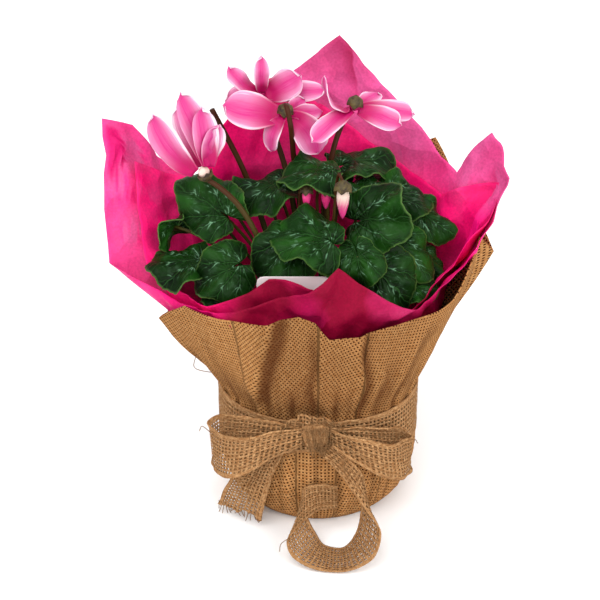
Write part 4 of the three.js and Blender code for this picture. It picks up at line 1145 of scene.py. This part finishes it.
def makePetal(name, hub, calyx, tip, face, width, seed, bendShare, cup, pale):
    span = tip - hub
    outward = (span - calyx * span.dot(calyx)).normalized()
    base = hub - calyx * 0.7 * petalShape["hub"] + outward * cup * petalShape["hub"]
    bend = base + (outward * bendShare - calyx * (0.45 - bendShare)) * span.length
    facing = face.normalized()

    def place(over, along):
        before = base + (bend - base) * along
        after = bend + (tip - bend) * along
        tangent = (after - before).normalized()
        side = facing.cross(tangent).normalized()
        normal = tangent.cross(side)
        full = (1 - 0.66 * (1 - along) ** 2.2) * math.sqrt(1 - along ** 4.5) + 0.03
        offset = (over - 0.5) * width * 1.12 * full
        tipRound = 2.2 * (2 * over - 1) ** 2 * along ** 6
        curl = 0.022 * offset ** 2 - 0.4 * math.exp(-(offset / 1.2) ** 2) * math.sin(math.pi * along)
        curl += 1.6 * (2 * over - 1) ** 3 * along ** 2 * math.sin(6 * along + seed)
        curl += 1.3 * noise.noise(Vector((along * 4, over * 2.4, seed)))
        return before + (after - before) * along - tangent * tipRound + side * offset + normal * curl

    piece = laySheet(name, petalShape["columns"], petalShape["rows"], place,
                     lambda over, along: (over - pale * along, along))
    thicken(piece, petalShape["thickness"])
    paint(piece, petalSkin)
    return piece


def makeCalyx(name, hub, calyx, radius):
    wall = 0.8
    clear = radius / math.cos(math.pi / 7) + 0.35
    profile = [(0, clear), (0.7 * clear, 0.72 * clear), (clear, 0.25 * clear), (clear + wall, 0.25 * clear),
               (0.9 * clear + wall, 0.6 * clear + wall), (0.5 * clear, clear + 2 * wall),
               (0, clear + 3.5 * wall)]

    def lobed(r, h, angle, along):
        low = fade(along, 0.2, 0.4) * (1 - fade(along, 0.5, 0.85))
        point = math.cos(5 * angle)
        drop = 1.1 * low * max(0, point) ** 1.5
        return r * (1 + 0.05 * low * point), h - drop + 0.7 * low * max(0, -point), angle

    piece = turned(name, hub, calyx, profile, 40, 24, lobed)
    paint(piece, calyxSkin)
    return piece


def stemPath(points, end):
    x, y = points[0][:2]
    route = [crownFoot(x * 3, y * 3), *[Vector(point) for point in points], end]
    return lambda along: splinePoint(route, along)


for index, flower in enumerate(flowers, 1):
    hub = Vector(flower["hub"])
    calyx = Vector(flower["calyx"]).normalized()
    radius = petalShape["hub"]
    ball = [(radius * math.sin(math.pi * k / 8), -radius * math.cos(math.pi * k / 8)) for k in range(9)]
    throat = turned(f"flower{index}Throat", hub, calyx, ball, 30, 16,
                    lambda r, h, angle, along: (r * (1 + 0.06 * math.cos(5 * angle)), h, angle))
    paint(throat, flower.get("mouth", throatSkin))
    pieces = [throat]
    for k, (tip, face, width) in enumerate(flower["petals"]):
        pieces.append(makePetal(f"flower{index}Petal{k}", hub, calyx, Vector(tip), Vector(face), width,
                                index * 3 + k * 1.3, flower.get("bend", 0.45), flower.get("cup", 0.75),
                                flower.get("pale", 0)))
    corolla = joinPieces(f"flower{index}Petals", pieces)
    standFor(corolla, "petal", f"flower_{index}_petals")
    cap = makeCalyx(f"flower{index}Calyx", hub, calyx, radius)
    stem = tube(f"flower{index}Stalk", stemPath(flower["stem"], hub + calyx * (radius + 2.35)),
                lambda along: 2 - 0.5 * along, 10, 44)
    paint(stem, stemSkin)
    standFor(joinPieces(f"flower{index}Stem", [stem, cap]), "stem", f"flower_{index}_stem")
print("flowers made")

# Buds hang from hooked stalks, their petals rolled in a spiral
buds = [
    {"at": (14, -28.5, 222), "radius": 4, "half": 12,
     "stalk": [(4, -8, 150), (9, -14, 205), (10, -17, 226), (12, -26, 239)]},
    {"at": (4, -11, 215), "radius": 3, "half": 7,
     "stalk": [(1, -4, 150), (-1, -5, 200), (-1, -6, 217), (2, -9, 225)]},
    {"at": (-8, -12, 216), "radius": 2.8, "half": 6.5,
     "stalk": [(-7, -4, 150), (-12, -6, 200), (-12, -7, 218), (-10, -10, 225)]},
]
for index, bud in enumerate(buds, 1):
    at, radius, half = Vector(bud["at"]), bud["radius"], bud["half"]
    up = Vector((0, 0, 1))
    spindle = [(0, -half), (0.45 * radius, -0.72 * half), (0.9 * radius, -0.1 * half), (radius, 0.3 * half),
               (0.85 * radius, 0.62 * half), (0.5 * radius, 0.85 * half), (0, 0.95 * half)]
    rolled = turned(f"bud{index}Petals", at, up, spindle, 40, 30,
                    lambda r, h, angle, along: (r * (0.96 + 0.05 * abs(math.sin(2.5 * angle))), h,
                                                angle + 2.2 * along))
    paint(rolled, budSkin if index == 1 else budTipSkin)
    standFor(rolled, "petal", f"bud_{index}_petals")
    cap = makeCalyx(f"bud{index}Calyx", at + up * 0.6 * half, up, radius)
    stalk = tube(f"bud{index}Stalk", stemPath(bud["stalk"], at + up * (0.95 * half + 1)),
                 lambda along: 0.95, 8, 40)
    paint(stalk, stemSkin)
    standFor(joinPieces(f"bud{index}Stem", [stalk, cap]), "stem", f"bud_{index}_stem")

spentRoute = [(-26, 11, 150), (-42, 25, 200), (-50, 28, 221)]
spent = tube("spentStalk", stemPath(spentRoute, Vector((-67, 26, 259))),
             lambda along: 2 - 0.2 * along, 10, 44)
paint(spent, stemSkin)
standFor(spent, "stem", "spent_stalk")
print("buds made")

# Pieces that keep their own shape
for name, material in (("pot", nurseryPlastic), ("plant_label", labelPlastic), ("soil", pottingSoil),
                       ("tuber", tuberCork)):
    paint(nodes[name], material)

# Floor and studio light
lightSet = {"key": 70, "fill": 40, "back": 12, "sky": 0.88}
bpy.ops.object.select_all(action="DESELECT")
bpy.ops.mesh.primitive_plane_add(size=8, location=(0, 0, -0.0004))
floor = bpy.context.object
floor.name = "floor"
floorMaterial = newMaterial("pale matt studio sweep")
finishMaterial(floorMaterial, {"Base Color": hexColour("#F8F8F8"), "Roughness": 0.9})
paint(floor, floorMaterial)


def addLight(name, place, power, size):
    aim = Vector((0, 0, 0.14)) - Vector(place)
    bpy.ops.object.light_add(type="AREA", location=place, rotation=aim.to_track_quat("-Z", "Y").to_euler())
    light = bpy.context.object
    light.name = name
    light.data.energy = power
    light.data.size = size


addLight("keyLight", (-0.9, -1.6, 2.5), lightSet["key"], 2.4)
addLight("fillLight", (1.7, -1.7, 1.6), lightSet["fill"], 1.8)
addLight("backLight", (0.3, 1.8, 2.1), lightSet["back"], 1.6)
world = bpy.data.worlds.new("studio")
world.use_nodes = True
world.node_tree.nodes["Background"].inputs[0].default_value = (1, 1, 1, 1)
world.node_tree.nodes["Background"].inputs[1].default_value = lightSet["sky"]
bpy.context.scene.world = world
bpy.context.scene.view_settings.view_transform = "Standard"
print("lights set")
